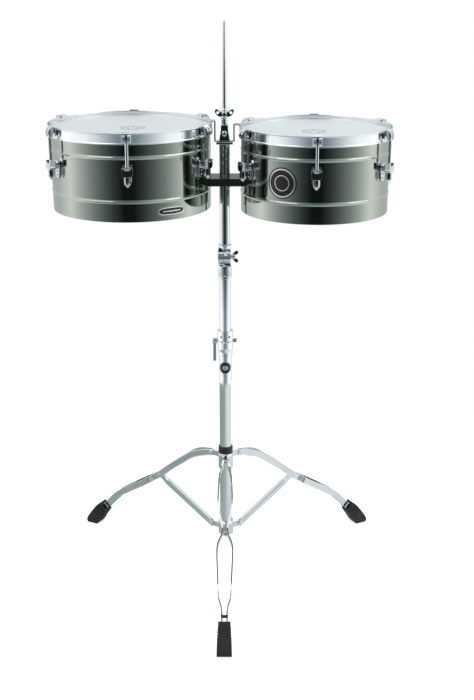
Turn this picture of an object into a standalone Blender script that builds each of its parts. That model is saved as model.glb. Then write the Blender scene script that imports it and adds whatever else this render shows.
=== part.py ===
"""Timbales: two tuned steel drums on a crossbar, a tilting height-adjustable column and a folding tripod."""
import math

import bmesh
import bpy
from mathutils import Matrix, Vector

MM = 0.001

# Where the column axis stands, so that the origin is the middle of the footprint on the floor.
COLUMN_X = 0.007487
COLUMN_Y = 0.10687

# Drums: the large one stands at -X, the small one at +X.
LARGE_R = 0.1905
SMALL_R = 0.1778
LARGE_X = -0.2240
SMALL_X = 0.2173
LARGE_TOP = 1.1807
SMALL_TOP = 1.1723
LARGE_LUG_AZ = 272.5
SMALL_LUG_AZ = 267.5
DRUM_SEGMENTS = 40
SHELL_WALL = 1.3 * MM
SHELL_BOTTOM = -202.5 * MM
SHELL_EDGE = -11.4 * MM
BEADS = (-55.7 * MM, -155.8 * MM)
HOOP_HEIGHT = 25.5 * MM
HEAD_DROP = 10.0 * MM
ROD_CIRCLE = 18.0 * MM
TENSION_ROD_R = 3.75 * MM

# Column.
UPPER_TUBE_R = 12.7 * MM
MIDDLE_TUBE_R = 14.3 * MM
LOWER_TUBE_R = 15.875 * MM
CROSSBAR_LOW = 1.0313
CROSSBAR_HIGH = 1.0496
CROSSBAR_HALF_DEPTH = 37.0 * MM
PLATE_LOW = 1.1281
TILT_Z = 0.8495
TILT_DISC_R = 19.0 * MM
CLAMP_LOW = 0.5920
CLAMP_HIGH = 0.6303
CLAMP_BOLT_Z = 0.6216
CLAMP_BOLT_Y = 25.0 * MM
ROD_R = 4.9 * MM
ROD_TOP = 1.4106
ROD_LOW = 1.0900
WING_Z = 1.2003

# Tripod linkage: leg and brace segments are equally long, so they mirror each other as they fold.
PIVOT_RHO = 43.0 * MM
LINK = 198.0 * MM
REST_ANGLE = math.radians(32.2)
HUB_Z = 98.5 * MM
COLLAR_Z = HUB_Z + 2.0 * LINK * math.sin(REST_ANGLE)
PIN_RHO = PIVOT_RHO + LINK * math.cos(REST_ANGLE)
PIN_Z = HUB_Z + LINK * math.sin(REST_ANGLE)
LEG_AZ = {"front": 270.0, "left": 150.0, "right": 30.0}
STRIP_T = 2.2 * MM
STRIP_H = 18.0 * MM
EAR_T = 7.0 * MM


def clear_scene():
    for item in list(bpy.data.objects):
        bpy.data.objects.remove(item)
    for item in list(bpy.data.meshes):
        bpy.data.meshes.remove(item)


def make(name, verts, faces):
    mesh = bpy.data.meshes.new(name)
    mesh.from_pydata([tuple(v) for v in verts], [], [tuple(f) for f in faces])
    bm = bmesh.new()
    bm.from_mesh(mesh)
    bmesh.ops.recalc_face_normals(bm, faces=bm.faces)
    bm.to_mesh(mesh)
    bm.free()
    obj = bpy.data.objects.new(name, mesh)
    bpy.context.scene.collection.objects.link(obj)
    return obj


def paint(obj, colour, metallic, roughness):
    mat = bpy.data.materials.new("mat_" + obj.name)
    mat.use_nodes = True
    node = mat.node_tree.nodes["Principled BSDF"]
    node.inputs["Base Color"].default_value = (colour[0], colour[1], colour[2], 1.0)
    node.inputs["Metallic"].default_value = metallic
    node.inputs["Roughness"].default_value = roughness
    obj.data.materials.clear()
    obj.data.materials.append(mat)


CHROME = ((0.78, 0.80, 0.82), 1.0, 0.10)
NICKEL = ((0.16, 0.17, 0.16), 1.0, 0.18)
BLACK = ((0.02, 0.02, 0.02), 0.0, 0.35)
RUBBER = ((0.03, 0.03, 0.03), 0.0, 0.75)
FILM = ((0.78, 0.80, 0.80), 0.0, 0.30)


def combine(base, tool, operation="UNION"):
    """Join a tool solid into the base, or cut it away, and drop the tool."""
    mod = base.modifiers.new("join", "BOOLEAN")
    mod.operation = operation
    mod.solver = "EXACT"
    mod.object = tool
    bpy.context.view_layer.update()
    graph = bpy.context.evaluated_depsgraph_get()
    mesh = bpy.data.meshes.new_from_object(base.evaluated_get(graph))
    base.modifiers.remove(mod)
    old = base.data
    base.data = mesh
    bpy.data.meshes.remove(old)
    bpy.data.objects.remove(tool)
    return base


def place(obj, matrix):
    obj.data.transform(matrix)
    return obj


def lathe(name, profile, segments=24, centre=(0.0, 0.0), ring=True, phase=0.0):
    """Turn (r, z) points about the vertical; ring=True closes the loop, else both ends are on the axis."""
    verts = []
    faces = []
    rings = []
    for r, z in profile:
        if r <= 0.0:
            rings.append([len(verts)])
            verts.append((centre[0], centre[1], z))
            continue
        row = []
        for k in range(segments):
            a = 2.0 * math.pi * k / segments + phase
            row.append(len(verts))
            verts.append((centre[0] + r * math.cos(a), centre[1] + r * math.sin(a), z))
        rings.append(row)
    count = len(rings)
    last = count if ring else count - 1
    for i in range(last):
        a = rings[i]
        b = rings[(i + 1) % count]
        for k in range(segments):
            n = (k + 1) % segments
            if len(a) == 1:
                faces.append((a[0], b[k], b[n]))
            elif len(b) == 1:
                faces.append((a[k], a[n], b[0]))
            else:
                faces.append((a[k], a[n], b[n], b[k]))
    return make(name, verts, faces)


def tube(name, outer, inner, low, high, segments=20, centre=(0.0, 0.0)):
    profile = [(outer, low), (outer, high), (inner, high), (inner, low)]
    return lathe(name, profile, segments, centre)


def rod(name, radius, low, high, segments=12, chamfer=0.0):
    if chamfer > 0.0:
        profile = [(0.0, low), (radius - chamfer, low), (radius, low + chamfer)]
        profile += [(radius, high - chamfer), (radius - chamfer, high), (0.0, high)]
    else:
        profile = [(0.0, low), (radius, low), (radius, high), (0.0, high)]
    return lathe(name, profile, segments, ring=False)


def along_x(obj, y=0.0, z=0.0):
    """Lay a solid made about the vertical down along +X, through (y, z)."""
    turn = Matrix.Rotation(math.radians(90.0), 4, "Y")
    return place(obj, Matrix.Translation((0.0, y, z)) @ turn)


def along_y(obj, x=0.0, z=0.0):
    """Lay a solid made about the vertical down along -Y, through (x, z)."""
    turn = Matrix.Rotation(math.radians(90.0), 4, "X")
    return place(obj, Matrix.Translation((x, 0.0, z)) @ turn)


def prism(name, outline, low, high, plane="xy"):
    """Extrude a closed outline: plane xy runs up Z, xz runs along Y, yz runs along X."""
    verts = []
    for w in (low, high):
        for u, v in outline:
            if plane == "xy":
                verts.append((u, v, w))
            elif plane == "xz":
                verts.append((u, w, v))
            else:
                verts.append((w, u, v))
    n = len(outline)
    faces = [tuple(range(n)), tuple(range(n, 2 * n))]
    for k in range(n):
        j = (k + 1) % n
        faces.append((k, j, n + j, n + k))
    return make(name, verts, faces)


def box(name, x0, x1, y0, y1, z0, z1):
    return prism(name, [(x0, y0), (x1, y0), (x1, y1), (x0, y1)], z0, z1)


def arc(cx, cy, r, start, end, steps):
    points = []
    for k in range(steps + 1):
        a = math.radians(start + (end - start) * k / steps)
        points.append((cx + r * math.cos(a), cy + r * math.sin(a)))
    return points


def spin(azimuth, centre=(0.0, 0.0)):
    """Carry a solid made on +X out to an azimuth about a vertical axis."""
    turn = Matrix.Rotation(math.radians(azimuth), 4, "Z")
    return Matrix.Translation((centre[0], centre[1], 0.0)) @ turn


def make_shell(name, cx, radius, top):
    low = top + SHELL_BOTTOM
    edge = top + SHELL_EDGE
    profile = [(radius - SHELL_WALL, low), (radius, low)]
    for bead in reversed(BEADS):
        z = top + bead
        profile += [(radius, z - 4.0 * MM), (radius + 1.8 * MM, z), (radius, z + 4.0 * MM)]
    profile += [(radius, edge), (radius - SHELL_WALL, edge)]
    obj = lathe(name, profile, DRUM_SEGMENTS, (cx, 0.0))
    paint(obj, *NICKEL)
    return obj


def make_hoop(name, cx, radius, top):
    low = top - HOOP_HEIGHT
    profile = [
        (radius + 2.9 * MM, low), (radius + 6.2 * MM, low),
        (radius + 6.2 * MM, low + 2.6 * MM), (radius + 4.9 * MM, low + 3.4 * MM),
        (radius + 5.5 * MM, top - 1.5 * MM), (radius + 4.9 * MM, top), (radius + 3.2 * MM, top),
        (radius + 2.9 * MM, top - 9.8 * MM), (radius + 1.1 * MM, top - 10.2 * MM),
        (radius + 1.1 * MM, top - 11.8 * MM), (radius + 2.9 * MM, top - 12.0 * MM),
    ]
    obj = lathe(name, profile, DRUM_SEGMENTS, (cx, 0.0))
    paint(obj, *CHROME)
    return obj


def make_head(name, cx, radius, top):
    z = top - HEAD_DROP
    profile = [
        (0.0, z), (radius - 0.6 * MM, z), (radius + 0.75 * MM, z - 0.8 * MM),
        (radius + 0.75 * MM, z - 2.5 * MM), (radius + 2.5 * MM, z - 2.7 * MM),
        (radius + 2.5 * MM, z - 9.6 * MM), (radius + 0.4 * MM, z - 9.6 * MM),
        (radius + 0.32 * MM, z - 1.0 * MM), (0.0, z - 1.0 * MM),
    ]
    obj = lathe(name, profile, DRUM_SEGMENTS, (cx, 0.0), ring=False)
    paint(obj, *FILM)
    return obj


def make_lug(name, cx, radius, top, azimuth):
    """A plate on the shell, an arm, a horned body around the rod and a hexagonal nut with a cone tip."""
    c = radius + ROD_CIRCLE
    body = [
        (-12.0, -73.8), (-4.8, -79.0), (4.8, -79.0), (12.0, -73.8),
        (12.0, -91.0), (8.0, -94.9), (-8.0, -94.9), (-12.0, -91.0),
    ]
    outline = [(u * MM, top + v * MM) for u, v in body]
    lug = prism(name, outline, c - 8.0 * MM, c + 8.0 * MM, "yz")
    nut_profile = [
        (0.0, top - 93.0 * MM), (7.9 * MM, top - 93.0 * MM), (7.9 * MM, top - 111.0 * MM),
        (2.0 * MM, top - 118.7 * MM), (0.0, top - 118.7 * MM),
    ]
    nut = lathe("tool", nut_profile, 6, (c, 0.0), ring=False, phase=math.radians(30.0))
    combine(lug, nut)
    near = radius + 0.4 * MM
    plate = [
        (-11.5, -75.0), (11.5, -75.0), (12.5, -83.0), (9.0, -111.0),
        (5.0, -116.0), (-5.0, -116.0), (-9.0, -111.0), (-12.5, -83.0),
    ]
    outline = [(u * MM, top + v * MM) for u, v in plate]
    combine(lug, prism("tool", outline, near, near + 3.0 * MM, "yz"))
    arm = box("tool", near + 1.0 * MM, c - 5.0 * MM, -6.5 * MM, 6.5 * MM, top - 94.0 * MM, top - 80.0 * MM)
    combine(lug, arm)
    hole = [
        (0.0, top - 73.0 * MM), (4.25 * MM, top - 73.0 * MM),
        (4.25 * MM, top - 95.5 * MM), (0.0, top - 95.5 * MM),
    ]
    combine(lug, lathe("tool", hole, 8, (c, 0.0), ring=False), "DIFFERENCE")
    place(lug, spin(azimuth, (cx, 0.0)))
    paint(lug, *CHROME)
    return lug


def make_tension_rod(name, cx, radius, top, azimuth):
    """A claw hooked over the hoop, in one with the rod that runs down into the lug."""
    c = radius + ROD_CIRCLE
    side = [
        (0.1, -4.0), (0.1, 1.6), (2.0, 2.9), (10.5, 3.4), (18.0, 1.4), (23.0, -3.6),
        (24.2, -10.0), (23.0, -16.0), (21.0, -20.0), (15.0, -20.0), (12.8, -13.0),
        (9.6, -9.5), (8.2, -18.0), (6.8, -18.0), (6.0, 0.5), (1.8, 0.5), (1.7, -4.0),
    ]
    outline = [(radius + u * MM, top + v * MM) for u, v in side]
    claw = prism(name, outline, -11.0 * MM, 11.0 * MM, "xz")
    shank = [
        (0.0, top - 12.0 * MM), (TENSION_ROD_R, top - 12.0 * MM),
        (TENSION_ROD_R, top - 94.0 * MM), (0.0, top - 94.0 * MM),
    ]
    combine(claw, lathe("tool", shank, 8, (c, 0.0), ring=False))
    place(claw, spin(azimuth, (cx, 0.0)))
    paint(claw, *CHROME)
    return claw


def make_badge(name, cx, radius, azimuth, z, half_w, half_h, power):
    """A thin plate bent to the shell, with a superellipse outline."""
    near = radius + 0.35 * MM
    far = radius + 1.55 * MM
    count = 20
    verts = []
    faces = []
    scales = (0.0, 0.55, 1.0)
    layers = []
    for r in (near, far):
        rows = []
        for s in scales:
            row = []
            if s == 0.0:
                row.append(len(verts))
                verts.append((r, 0.0, z))
                rows.append(row)
                continue
            for k in range(count):
                a = 2.0 * math.pi * k / count
                ca = math.cos(a)
                sa = math.sin(a)
                u = half_w * s * math.copysign(abs(ca) ** (2.0 / power), ca)
                v = half_h * s * math.copysign(abs(sa) ** (2.0 / power), sa)
                t = u / radius
                row.append(len(verts))
                verts.append((r * math.cos(t), r * math.sin(t), z + v))
            rows.append(row)
        layers.append(rows)
    for rows in layers:
        for k in range(count):
            n = (k + 1) % count
            faces.append((rows[0][0], rows[1][k], rows[1][n]))
            faces.append((rows[1][k], rows[2][k], rows[2][n], rows[1][n]))
    for k in range(count):
        n = (k + 1) % count
        faces.append((layers[0][2][k], layers[0][2][n], layers[1][2][n], layers[1][2][k]))
    obj = make(name, verts, faces)
    place(obj, spin(azimuth, (cx, 0.0)))
    return obj


def make_drum(label, cx, radius, top, first_lug):
    make_shell(label + "_shell", cx, radius, top)
    make_hoop(label + "_hoop", cx, radius, top)
    make_head(label + "_head", cx, radius, top)
    for k in range(6):
        azimuth = first_lug + 60.0 * k
        make_lug("%s_lug_%d" % (label, k + 1), cx, radius, top, azimuth)
        make_tension_rod("%s_tension_rod_%d" % (label, k + 1), cx, radius, top, azimuth)


def make_crossbar():
    """A flat black beam between the shells, with ends curved to them and a bore for the column."""
    d = CROSSBAR_HALF_DEPTH
    gap = 0.4 * MM
    a1 = math.degrees(math.asin(d / (LARGE_R + gap)))
    a2 = math.degrees(math.asin(d / (SMALL_R + gap)))
    outline = arc(LARGE_X, 0.0, LARGE_R + gap, a1, -a1, 8)
    outline += arc(SMALL_X, 0.0, SMALL_R + gap, 180.0 + a2, 180.0 - a2, 8)
    bar = prism("crossbar", outline, CROSSBAR_LOW, CROSSBAR_HIGH)
    bore = rod("tool", UPPER_TUBE_R + 0.35 * MM, CROSSBAR_LOW - 0.01, CROSSBAR_HIGH + 0.01, 24)
    combine(bar, bore, "DIFFERENCE")
    paint(bar, *BLACK)


def make_top_hardware():
    plate = box("top_plate", -20.0 * MM, 20.0 * MM, -17.0 * MM, 17.0 * MM, PLATE_LOW, PLATE_LOW + 5.2 * MM)
    hole = rod("tool", ROD_R + 0.6 * MM, PLATE_LOW - 0.01, PLATE_LOW + 0.02, 16)
    combine(plate, hole, "DIFFERENCE")
    paint(plate, *CHROME)

    # The strap runs under the rod clamp and up to a hook over each hoop.
    low = PLATE_LOW + 5.6 * MM
    lx = LARGE_X + LARGE_R
    rx = SMALL_X - SMALL_R
    t = 2.0 * MM
    lt = LARGE_TOP + 0.5 * MM
    rt = SMALL_TOP + 0.5 * MM
    left_in = lx + 1.7 * MM
    right_in = rx - 1.7 * MM
    outline = [
        (left_in - t, lt - 5.0 * MM), (left_in, lt - 5.0 * MM), (left_in, lt),
        (-24.5 * MM, lt), (-24.5 * MM, low), (24.5 * MM, low), (24.5 * MM, rt),
        (right_in, rt), (right_in, rt - 5.0 * MM), (right_in + t, rt - 5.0 * MM),
        (right_in + t, rt + t), (22.5 * MM, rt + t), (22.5 * MM, low + t),
        (-22.5 * MM, low + t), (-22.5 * MM, lt + t), (left_in - t, lt + t),
    ]
    strap = prism("rim_strap", outline, -11.0 * MM, 11.0 * MM, "xz")
    hole = rod("tool", ROD_R + 0.6 * MM, low - 0.005, low + 0.008, 16)
    combine(strap, hole, "DIFFERENCE")
    paint(strap, *CHROME)

    base = low + t + 0.4 * MM
    outline = [
        (-12.5 * MM, base), (12.5 * MM, base), (9.0 * MM, base + 21.0 * MM),
        (8.0 * MM, base + 37.0 * MM), (-8.0 * MM, base + 37.0 * MM), (-9.0 * MM, base + 21.0 * MM),
    ]
    clamp = prism("rod_clamp", outline, -11.0 * MM, 11.0 * MM, "xz")
    barrel = [
        (0.0, base + 30.0 * MM), (7.6 * MM, base + 30.0 * MM), (7.6 * MM, WING_Z - 12.0 * MM),
        (9.4 * MM, WING_Z - 10.0 * MM), (9.4 * MM, WING_Z + 9.0 * MM),
        (8.2 * MM, WING_Z + 10.5 * MM), (0.0, WING_Z + 10.5 * MM),
    ]
    combine(clamp, lathe("tool", barrel, 20, ring=False))
    boss = along_y(rod("tool", 6.4 * MM, 8.0 * MM, 15.0 * MM, 16), 0.0, base + 17.0 * MM)
    combine(clamp, boss)
    nose = along_y(rod("tool", 5.4 * MM, 4.0 * MM, 11.4 * MM, 16), 0.0, WING_Z)
    combine(clamp, nose)
    bore = rod("tool", ROD_R + 0.4 * MM, base - 0.01, WING_Z + 0.03, 16)
    combine(clamp, bore, "DIFFERENCE")
    paint(clamp, *CHROME)

    # Wing bolt, made along Z as its own axis and then laid to face the front.
    wing = rod("rod_wing_bolt", 5.2 * MM, 11.8 * MM, 25.0 * MM, 16, 0.8 * MM)
    for side in (-1.0, 1.0):
        points = [
            (3.0, 4.0), (8.5, 4.8), (14.0, 9.0), (19.0, 11.5), (22.0, 9.5), (22.4, 4.5),
            (19.0, -1.0), (14.0, -5.5), (8.5, -6.5), (3.0, -4.0),
        ]
        lobe = prism("tool", [(side * u * MM, v * MM) for u, v in points], 14.0 * MM, 22.0 * MM)
        combine(wing, lobe)
    along_y(wing, 0.0, WING_Z)
    paint(wing, *CHROME)

    bell = rod("cowbell_rod", ROD_R, ROD_LOW, ROD_TOP, 16, 1.0 * MM)
    paint(bell, *CHROME)


def make_tilter():
    """Two toothed discs side by side on a cross screw, each in one with its own socket."""
    r = TILT_DISC_R
    upper = along_x(rod("tilter_upper", r, -17.0 * MM, -3.3 * MM, 20), 0.0, TILT_Z)
    neck = box("tool", -16.4 * MM, -4.2 * MM, -12.0 * MM, 12.0 * MM, TILT_Z, TILT_Z + 24.0 * MM)
    combine(upper, neck)
    collar = [
        (0.0, TILT_Z + 19.8 * MM), (14.4 * MM, TILT_Z + 19.8 * MM), (15.4 * MM, TILT_Z + 21.0 * MM),
        (15.4 * MM, TILT_Z + 31.2 * MM), (14.6 * MM, TILT_Z + 32.0 * MM), (0.0, TILT_Z + 32.0 * MM),
    ]
    combine(upper, lathe("tool", collar, 20, ring=False))
    socket = rod("tool", UPPER_TUBE_R + 0.35 * MM, TILT_Z + 23.0 * MM, TILT_Z + 40.0 * MM, 24)
    combine(upper, socket, "DIFFERENCE")
    bore = along_x(rod("tool", 4.4 * MM, -30.0 * MM, 30.0 * MM, 8), 0.0, TILT_Z)
    combine(upper, bore, "DIFFERENCE")
    paint(upper, *CHROME)

    lower = along_x(rod("tilter_lower", r, -2.9 * MM, 14.5 * MM, 20), 0.0, TILT_Z)
    neck = box("tool", -1.8 * MM, 13.6 * MM, -12.0 * MM, 12.0 * MM, TILT_Z - 26.0 * MM, TILT_Z)
    combine(lower, neck)
    body = [
        (0.0, TILT_Z - 55.5 * MM), (16.2 * MM, TILT_Z - 55.5 * MM), (17.0 * MM, TILT_Z - 54.5 * MM),
        (17.0 * MM, TILT_Z - 21.0 * MM), (15.6 * MM, TILT_Z - 19.8 * MM), (0.0, TILT_Z - 19.8 * MM),
    ]
    combine(lower, lathe("tool", body, 20, ring=False))
    socket = rod("tool", MIDDLE_TUBE_R + 0.35 * MM, TILT_Z - 70.0 * MM, TILT_Z - 26.0 * MM, 24)
    combine(lower, socket, "DIFFERENCE")
    bore = along_x(rod("tool", 4.4 * MM, -30.0 * MM, 30.0 * MM, 8), 0.0, TILT_Z)
    combine(lower, bore, "DIFFERENCE")
    paint(lower, *CHROME)

    screw = rod("tilter_wing_screw", 3.9 * MM, -16.0 * MM, 20.0 * MM, 8)
    combine(screw, rod("tool", 6.6 * MM, 15.0 * MM, 26.0 * MM, 16, 0.8 * MM))
    for side in (-1.0, 1.0):
        points = [
            (17.0, 2.0), (17.0, 5.0), (21.0, 9.0), (25.0, 13.5), (30.0, 15.5),
            (33.0, 13.0), (33.0, 8.5), (29.0, 5.5), (24.5, 2.0),
        ]
        lobe = prism("tool", [(side * v * MM, u * MM) for u, v in points], -2.2 * MM, 2.2 * MM, "xz")
        combine(screw, lobe)
    along_x(screw, 0.0, TILT_Z)
    paint(screw, *CHROME)


def make_column():
    obj = tube("upper_tube", UPPER_TUBE_R, 10.9 * MM, TILT_Z + 23.4 * MM, PLATE_LOW - 0.4 * MM)
    paint(obj, *CHROME)
    obj = tube("middle_tube", MIDDLE_TUBE_R, 12.6 * MM, 0.4000, TILT_Z - 26.4 * MM)
    paint(obj, *CHROME)
    obj = tube("lower_tube", LOWER_TUBE_R, 14.7 * MM, 0.0900, CLAMP_LOW + 10.0 * MM)
    paint(obj, *CHROME)

    lock = [
        (14.65 * MM, 0.6312), (19.6 * MM, 0.6312), (20.2 * MM, 0.6320), (20.2 * MM, 0.6570),
        (19.6 * MM, 0.6578), (14.65 * MM, 0.6578),
    ]
    ring = lathe("memory_lock", lock, 24)
    slot = box("tool", -4.0 * MM, 4.0 * MM, -26.0 * MM, -17.4 * MM, 0.6250, 0.6640)
    combine(ring, slot, "DIFFERENCE")
    paint(ring, *CHROME)

    ledge = CLAMP_LOW + 10.4 * MM
    profile = [
        (LOWER_TUBE_R + 0.35 * MM, CLAMP_LOW), (18.3 * MM, CLAMP_LOW), (18.3 * MM, CLAMP_LOW + 16.0 * MM),
        (19.6 * MM, CLAMP_LOW + 17.5 * MM), (19.6 * MM, CLAMP_HIGH - 1.0 * MM), (18.8 * MM, CLAMP_HIGH),
        (14.7 * MM, CLAMP_HIGH), (14.7 * MM, ledge), (LOWER_TUBE_R + 0.35 * MM, ledge),
    ]
    clamp = lathe("height_clamp", profile, 24)
    low = CLAMP_BOLT_Z - 8.0 * MM
    high = CLAMP_BOLT_Z + 8.0 * MM
    ears = box("tool", -15.0 * MM, 15.0 * MM, 15.0 * MM, 33.0 * MM, low, high)
    well = rod("tool2", 17.2 * MM, 0.55, 0.70, 24)
    combine(ears, well, "DIFFERENCE")
    combine(clamp, ears)
    split = box("tool", -1.5 * MM, 1.5 * MM, 10.0 * MM, 40.0 * MM, low - 0.002, high + 0.0005)
    combine(clamp, split, "DIFFERENCE")
    bore = along_x(rod("tool", 3.5 * MM, -30.0 * MM, 30.0 * MM, 12), CLAMP_BOLT_Y, CLAMP_BOLT_Z)
    combine(clamp, bore, "DIFFERENCE")
    paint(clamp, *CHROME)

    bolt = rod("clamp_bolt", 3.1 * MM, -17.0 * MM, 19.0 * MM, 12)
    head = rod("tool", 5.6 * MM, 15.4 * MM, 29.0 * MM, 6)
    combine(bolt, head)
    along_x(bolt, CLAMP_BOLT_Y, CLAMP_BOLT_Z)
    paint(bolt, *CHROME)

    lever = rod("clamp_lever", 8.2 * MM, -33.0 * MM, -17.4 * MM, 16, 0.8 * MM)
    along_x(lever, CLAMP_BOLT_Y, CLAMP_BOLT_Z)
    arm = [
        (CLAMP_BOLT_Y - 6.0 * MM, 0.6240), (CLAMP_BOLT_Y - 8.5 * MM, 0.6100), (CLAMP_BOLT_Y - 12.0 * MM, 0.5930),
        (CLAMP_BOLT_Y - 17.0 * MM, 0.5760), (CLAMP_BOLT_Y - 14.0 * MM, 0.5700), (CLAMP_BOLT_Y - 8.0 * MM, 0.5715),
        (CLAMP_BOLT_Y - 2.0 * MM, 0.5910), (CLAMP_BOLT_Y + 3.0 * MM, 0.6090), (CLAMP_BOLT_Y + 6.0 * MM, 0.6200),
    ]
    combine(lever, prism("tool", arm, -31.0 * MM, -23.0 * MM, "yz"))
    reach = along_x(rod("tool", 3.6 * MM, -26.0 * MM, -24.0 * MM, 8), CLAMP_BOLT_Y, CLAMP_BOLT_Z)
    combine(lever, reach)
    hole = along_x(rod("tool", 3.5 * MM, -18.6 * MM, -10.0 * MM, 12), CLAMP_BOLT_Y, CLAMP_BOLT_Z)
    combine(lever, hole, "DIFFERENCE")
    paint(lever, *CHROME)


def ear_outline(pivot_rho, pivot_z, root_rho, reach):
    """Side outline of a rounded ear standing out from a hub."""
    points = [(root_rho, pivot_z - reach)]
    points += arc(pivot_rho, pivot_z, reach, -90.0, 90.0, 6)
    points += [(root_rho, pivot_z + reach)]
    return points


def make_hub(name, low, high, pivot_z, outer):
    profile = [
        (LOWER_TUBE_R + 0.35 * MM, low), (outer - 1.0 * MM, low), (outer, low + 1.0 * MM),
        (outer, high - 1.0 * MM), (outer - 1.0 * MM, high), (LOWER_TUBE_R + 0.35 * MM, high),
    ]
    hub = lathe(name, profile, 24)
    for azimuth in LEG_AZ.values():
        outline = ear_outline(PIVOT_RHO, pivot_z, 17.5 * MM, 7.0 * MM)
        ear = prism("tool", outline, -0.5 * EAR_T, 0.5 * EAR_T, "xz")
        place(ear, spin(azimuth))
        combine(hub, ear)
    paint(hub, *CHROME)
    return hub


# Leg centreline in the (rho, z) plane with the half gap from the middle to each strip.
def leg_stations():
    return [
        (PIVOT_RHO - 7.0 * MM, COLLAR_Z + 0.6 * MM, 5.2 * MM, 0.55),
        (PIVOT_RHO, COLLAR_Z, 5.2 * MM, 0.95),
        (PIVOT_RHO + 12.0 * MM, COLLAR_Z - 1.6 * MM, 5.4 * MM, 1.0),
        (0.0800, COLLAR_Z - 8.0 * MM, 11.0 * MM, 1.0),
        (0.1020, 0.2910, 14.6 * MM, 1.0),
        (0.1280, 0.2715, 16.6 * MM, 1.0),
        (0.1640, 0.2440, 16.6 * MM, 1.0),
        (0.1960, 0.2165, 8.2 * MM, 1.0),
        (PIN_RHO, PIN_Z, 5.4 * MM, 1.0),
        (0.2250, 0.1945, 7.4 * MM, 1.0),
        (0.2420, 0.1830, 15.4 * MM, 1.0),
        (0.2620, 0.1700, 18.8 * MM, 1.0),
        (0.3100, 0.1395, 16.6 * MM, 1.0),
        (0.3420, 0.1180, 15.0 * MM, 1.0),
        (0.3600, 0.1010, 13.4 * MM, 1.0),
        (0.3730, 0.0870, 8.0 * MM, 1.0),
        (0.3830, 0.0765, 5.6 * MM, 1.0),
        (0.3975, 0.0611, 5.6 * MM, 0.95),
        (0.4085, 0.0494, 5.6 * MM, 0.9),
    ]


def make_leg(name, azimuth):
    stations = leg_stations()
    count = len(stations)
    parts = []
    for side in (-1.0, 1.0):
        verts = []
        for k, (rho, z, gap, scale) in enumerate(stations):
            a = stations[max(0, k - 1)]
            b = stations[min(count - 1, k + 1)]
            along = Vector((b[0] - a[0], b[1] - a[1])).normalized()
            across = Vector((-along[1], along[0])) * (0.5 * STRIP_H * scale)
            inner = side * (gap - 0.5 * STRIP_T)
            outer = side * (gap + 0.5 * STRIP_T)
            for sign, t in ((1.0, inner), (1.0, outer), (-1.0, outer), (-1.0, inner)):
                verts.append((rho + sign * across[0], t, z + sign * across[1]))
        faces = [(0, 1, 2, 3), tuple(4 * (count - 1) + j for j in range(4))]
        for k in range(count - 1):
            for j in range(4):
                n = (j + 1) % 4
                faces.append((4 * k + j, 4 * k + n, 4 * k + 4 + n, 4 * k + 4 + j))
        parts.append(make(name if side < 0 else "tool", verts, faces))
    leg = parts[0]
    # The rivet at the brace pin keeps the two strips in one piece, and so does the ankle block.
    pin = along_y(rod("tool2", 3.6 * MM, -8.4 * MM, 8.4 * MM, 8), PIN_RHO, PIN_Z)
    combine(leg, pin)
    combine(leg, parts[1])
    for z0, z1 in ((-7.6 * MM, -5.4 * MM), (5.4 * MM, 7.6 * MM)):
        rivet = along_y(rod("tool", 4.6 * MM, z0, z1, 8), PIVOT_RHO, COLLAR_Z)
        combine(leg, rivet)
    ankle = [(0.3790, 0.0702), (0.3880, 0.0612), (0.3980, 0.0716), (0.3890, 0.0806)]
    combine(leg, prism("tool", ankle, -5.6 * MM, 5.6 * MM, "xz"))
    place(leg, spin(azimuth))
    paint(leg, *CHROME)
    return leg


def make_foot(name, azimuth):
    """A rubber shoe on the ankle with a flat tread on the floor."""
    side = [
        (0.4134, 0.0700), (0.4250, 0.0590), (0.4430, 0.0360), (0.4550, 0.0190),
        (0.4590, 0.0090), (0.4550, 0.0), (0.4240, 0.0), (0.4180, 0.0060), (0.4080, 0.0230),
        (0.3960, 0.0400), (0.3926, 0.0446), (0.3908, 0.0490),
    ]
    foot = prism(name, side, -18.2 * MM, 18.2 * MM, "xz")
    for s in (-1.0, 1.0):
        shoulder = [(0.36, 0.10), (0.36, 0.03), (0.4040, 0.0540), (0.4240, 0.0720), (0.41, 0.11)]
        cheek = prism("tool", shoulder, s * 14.4 * MM, s * 24.0 * MM, "xz")
        combine(foot, cheek, "DIFFERENCE")
    # Pocket for the pinched end of the strips.
    pocket = [(0.3776, 0.0966), (0.3633, 0.0831), (0.4044, 0.0395), (0.4187, 0.0529)]
    combine(foot, prism("tool", pocket, -9.4 * MM, 9.4 * MM, "xz"), "DIFFERENCE")
    place(foot, spin(azimuth))
    paint(foot, *RUBBER)
    return foot


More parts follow.
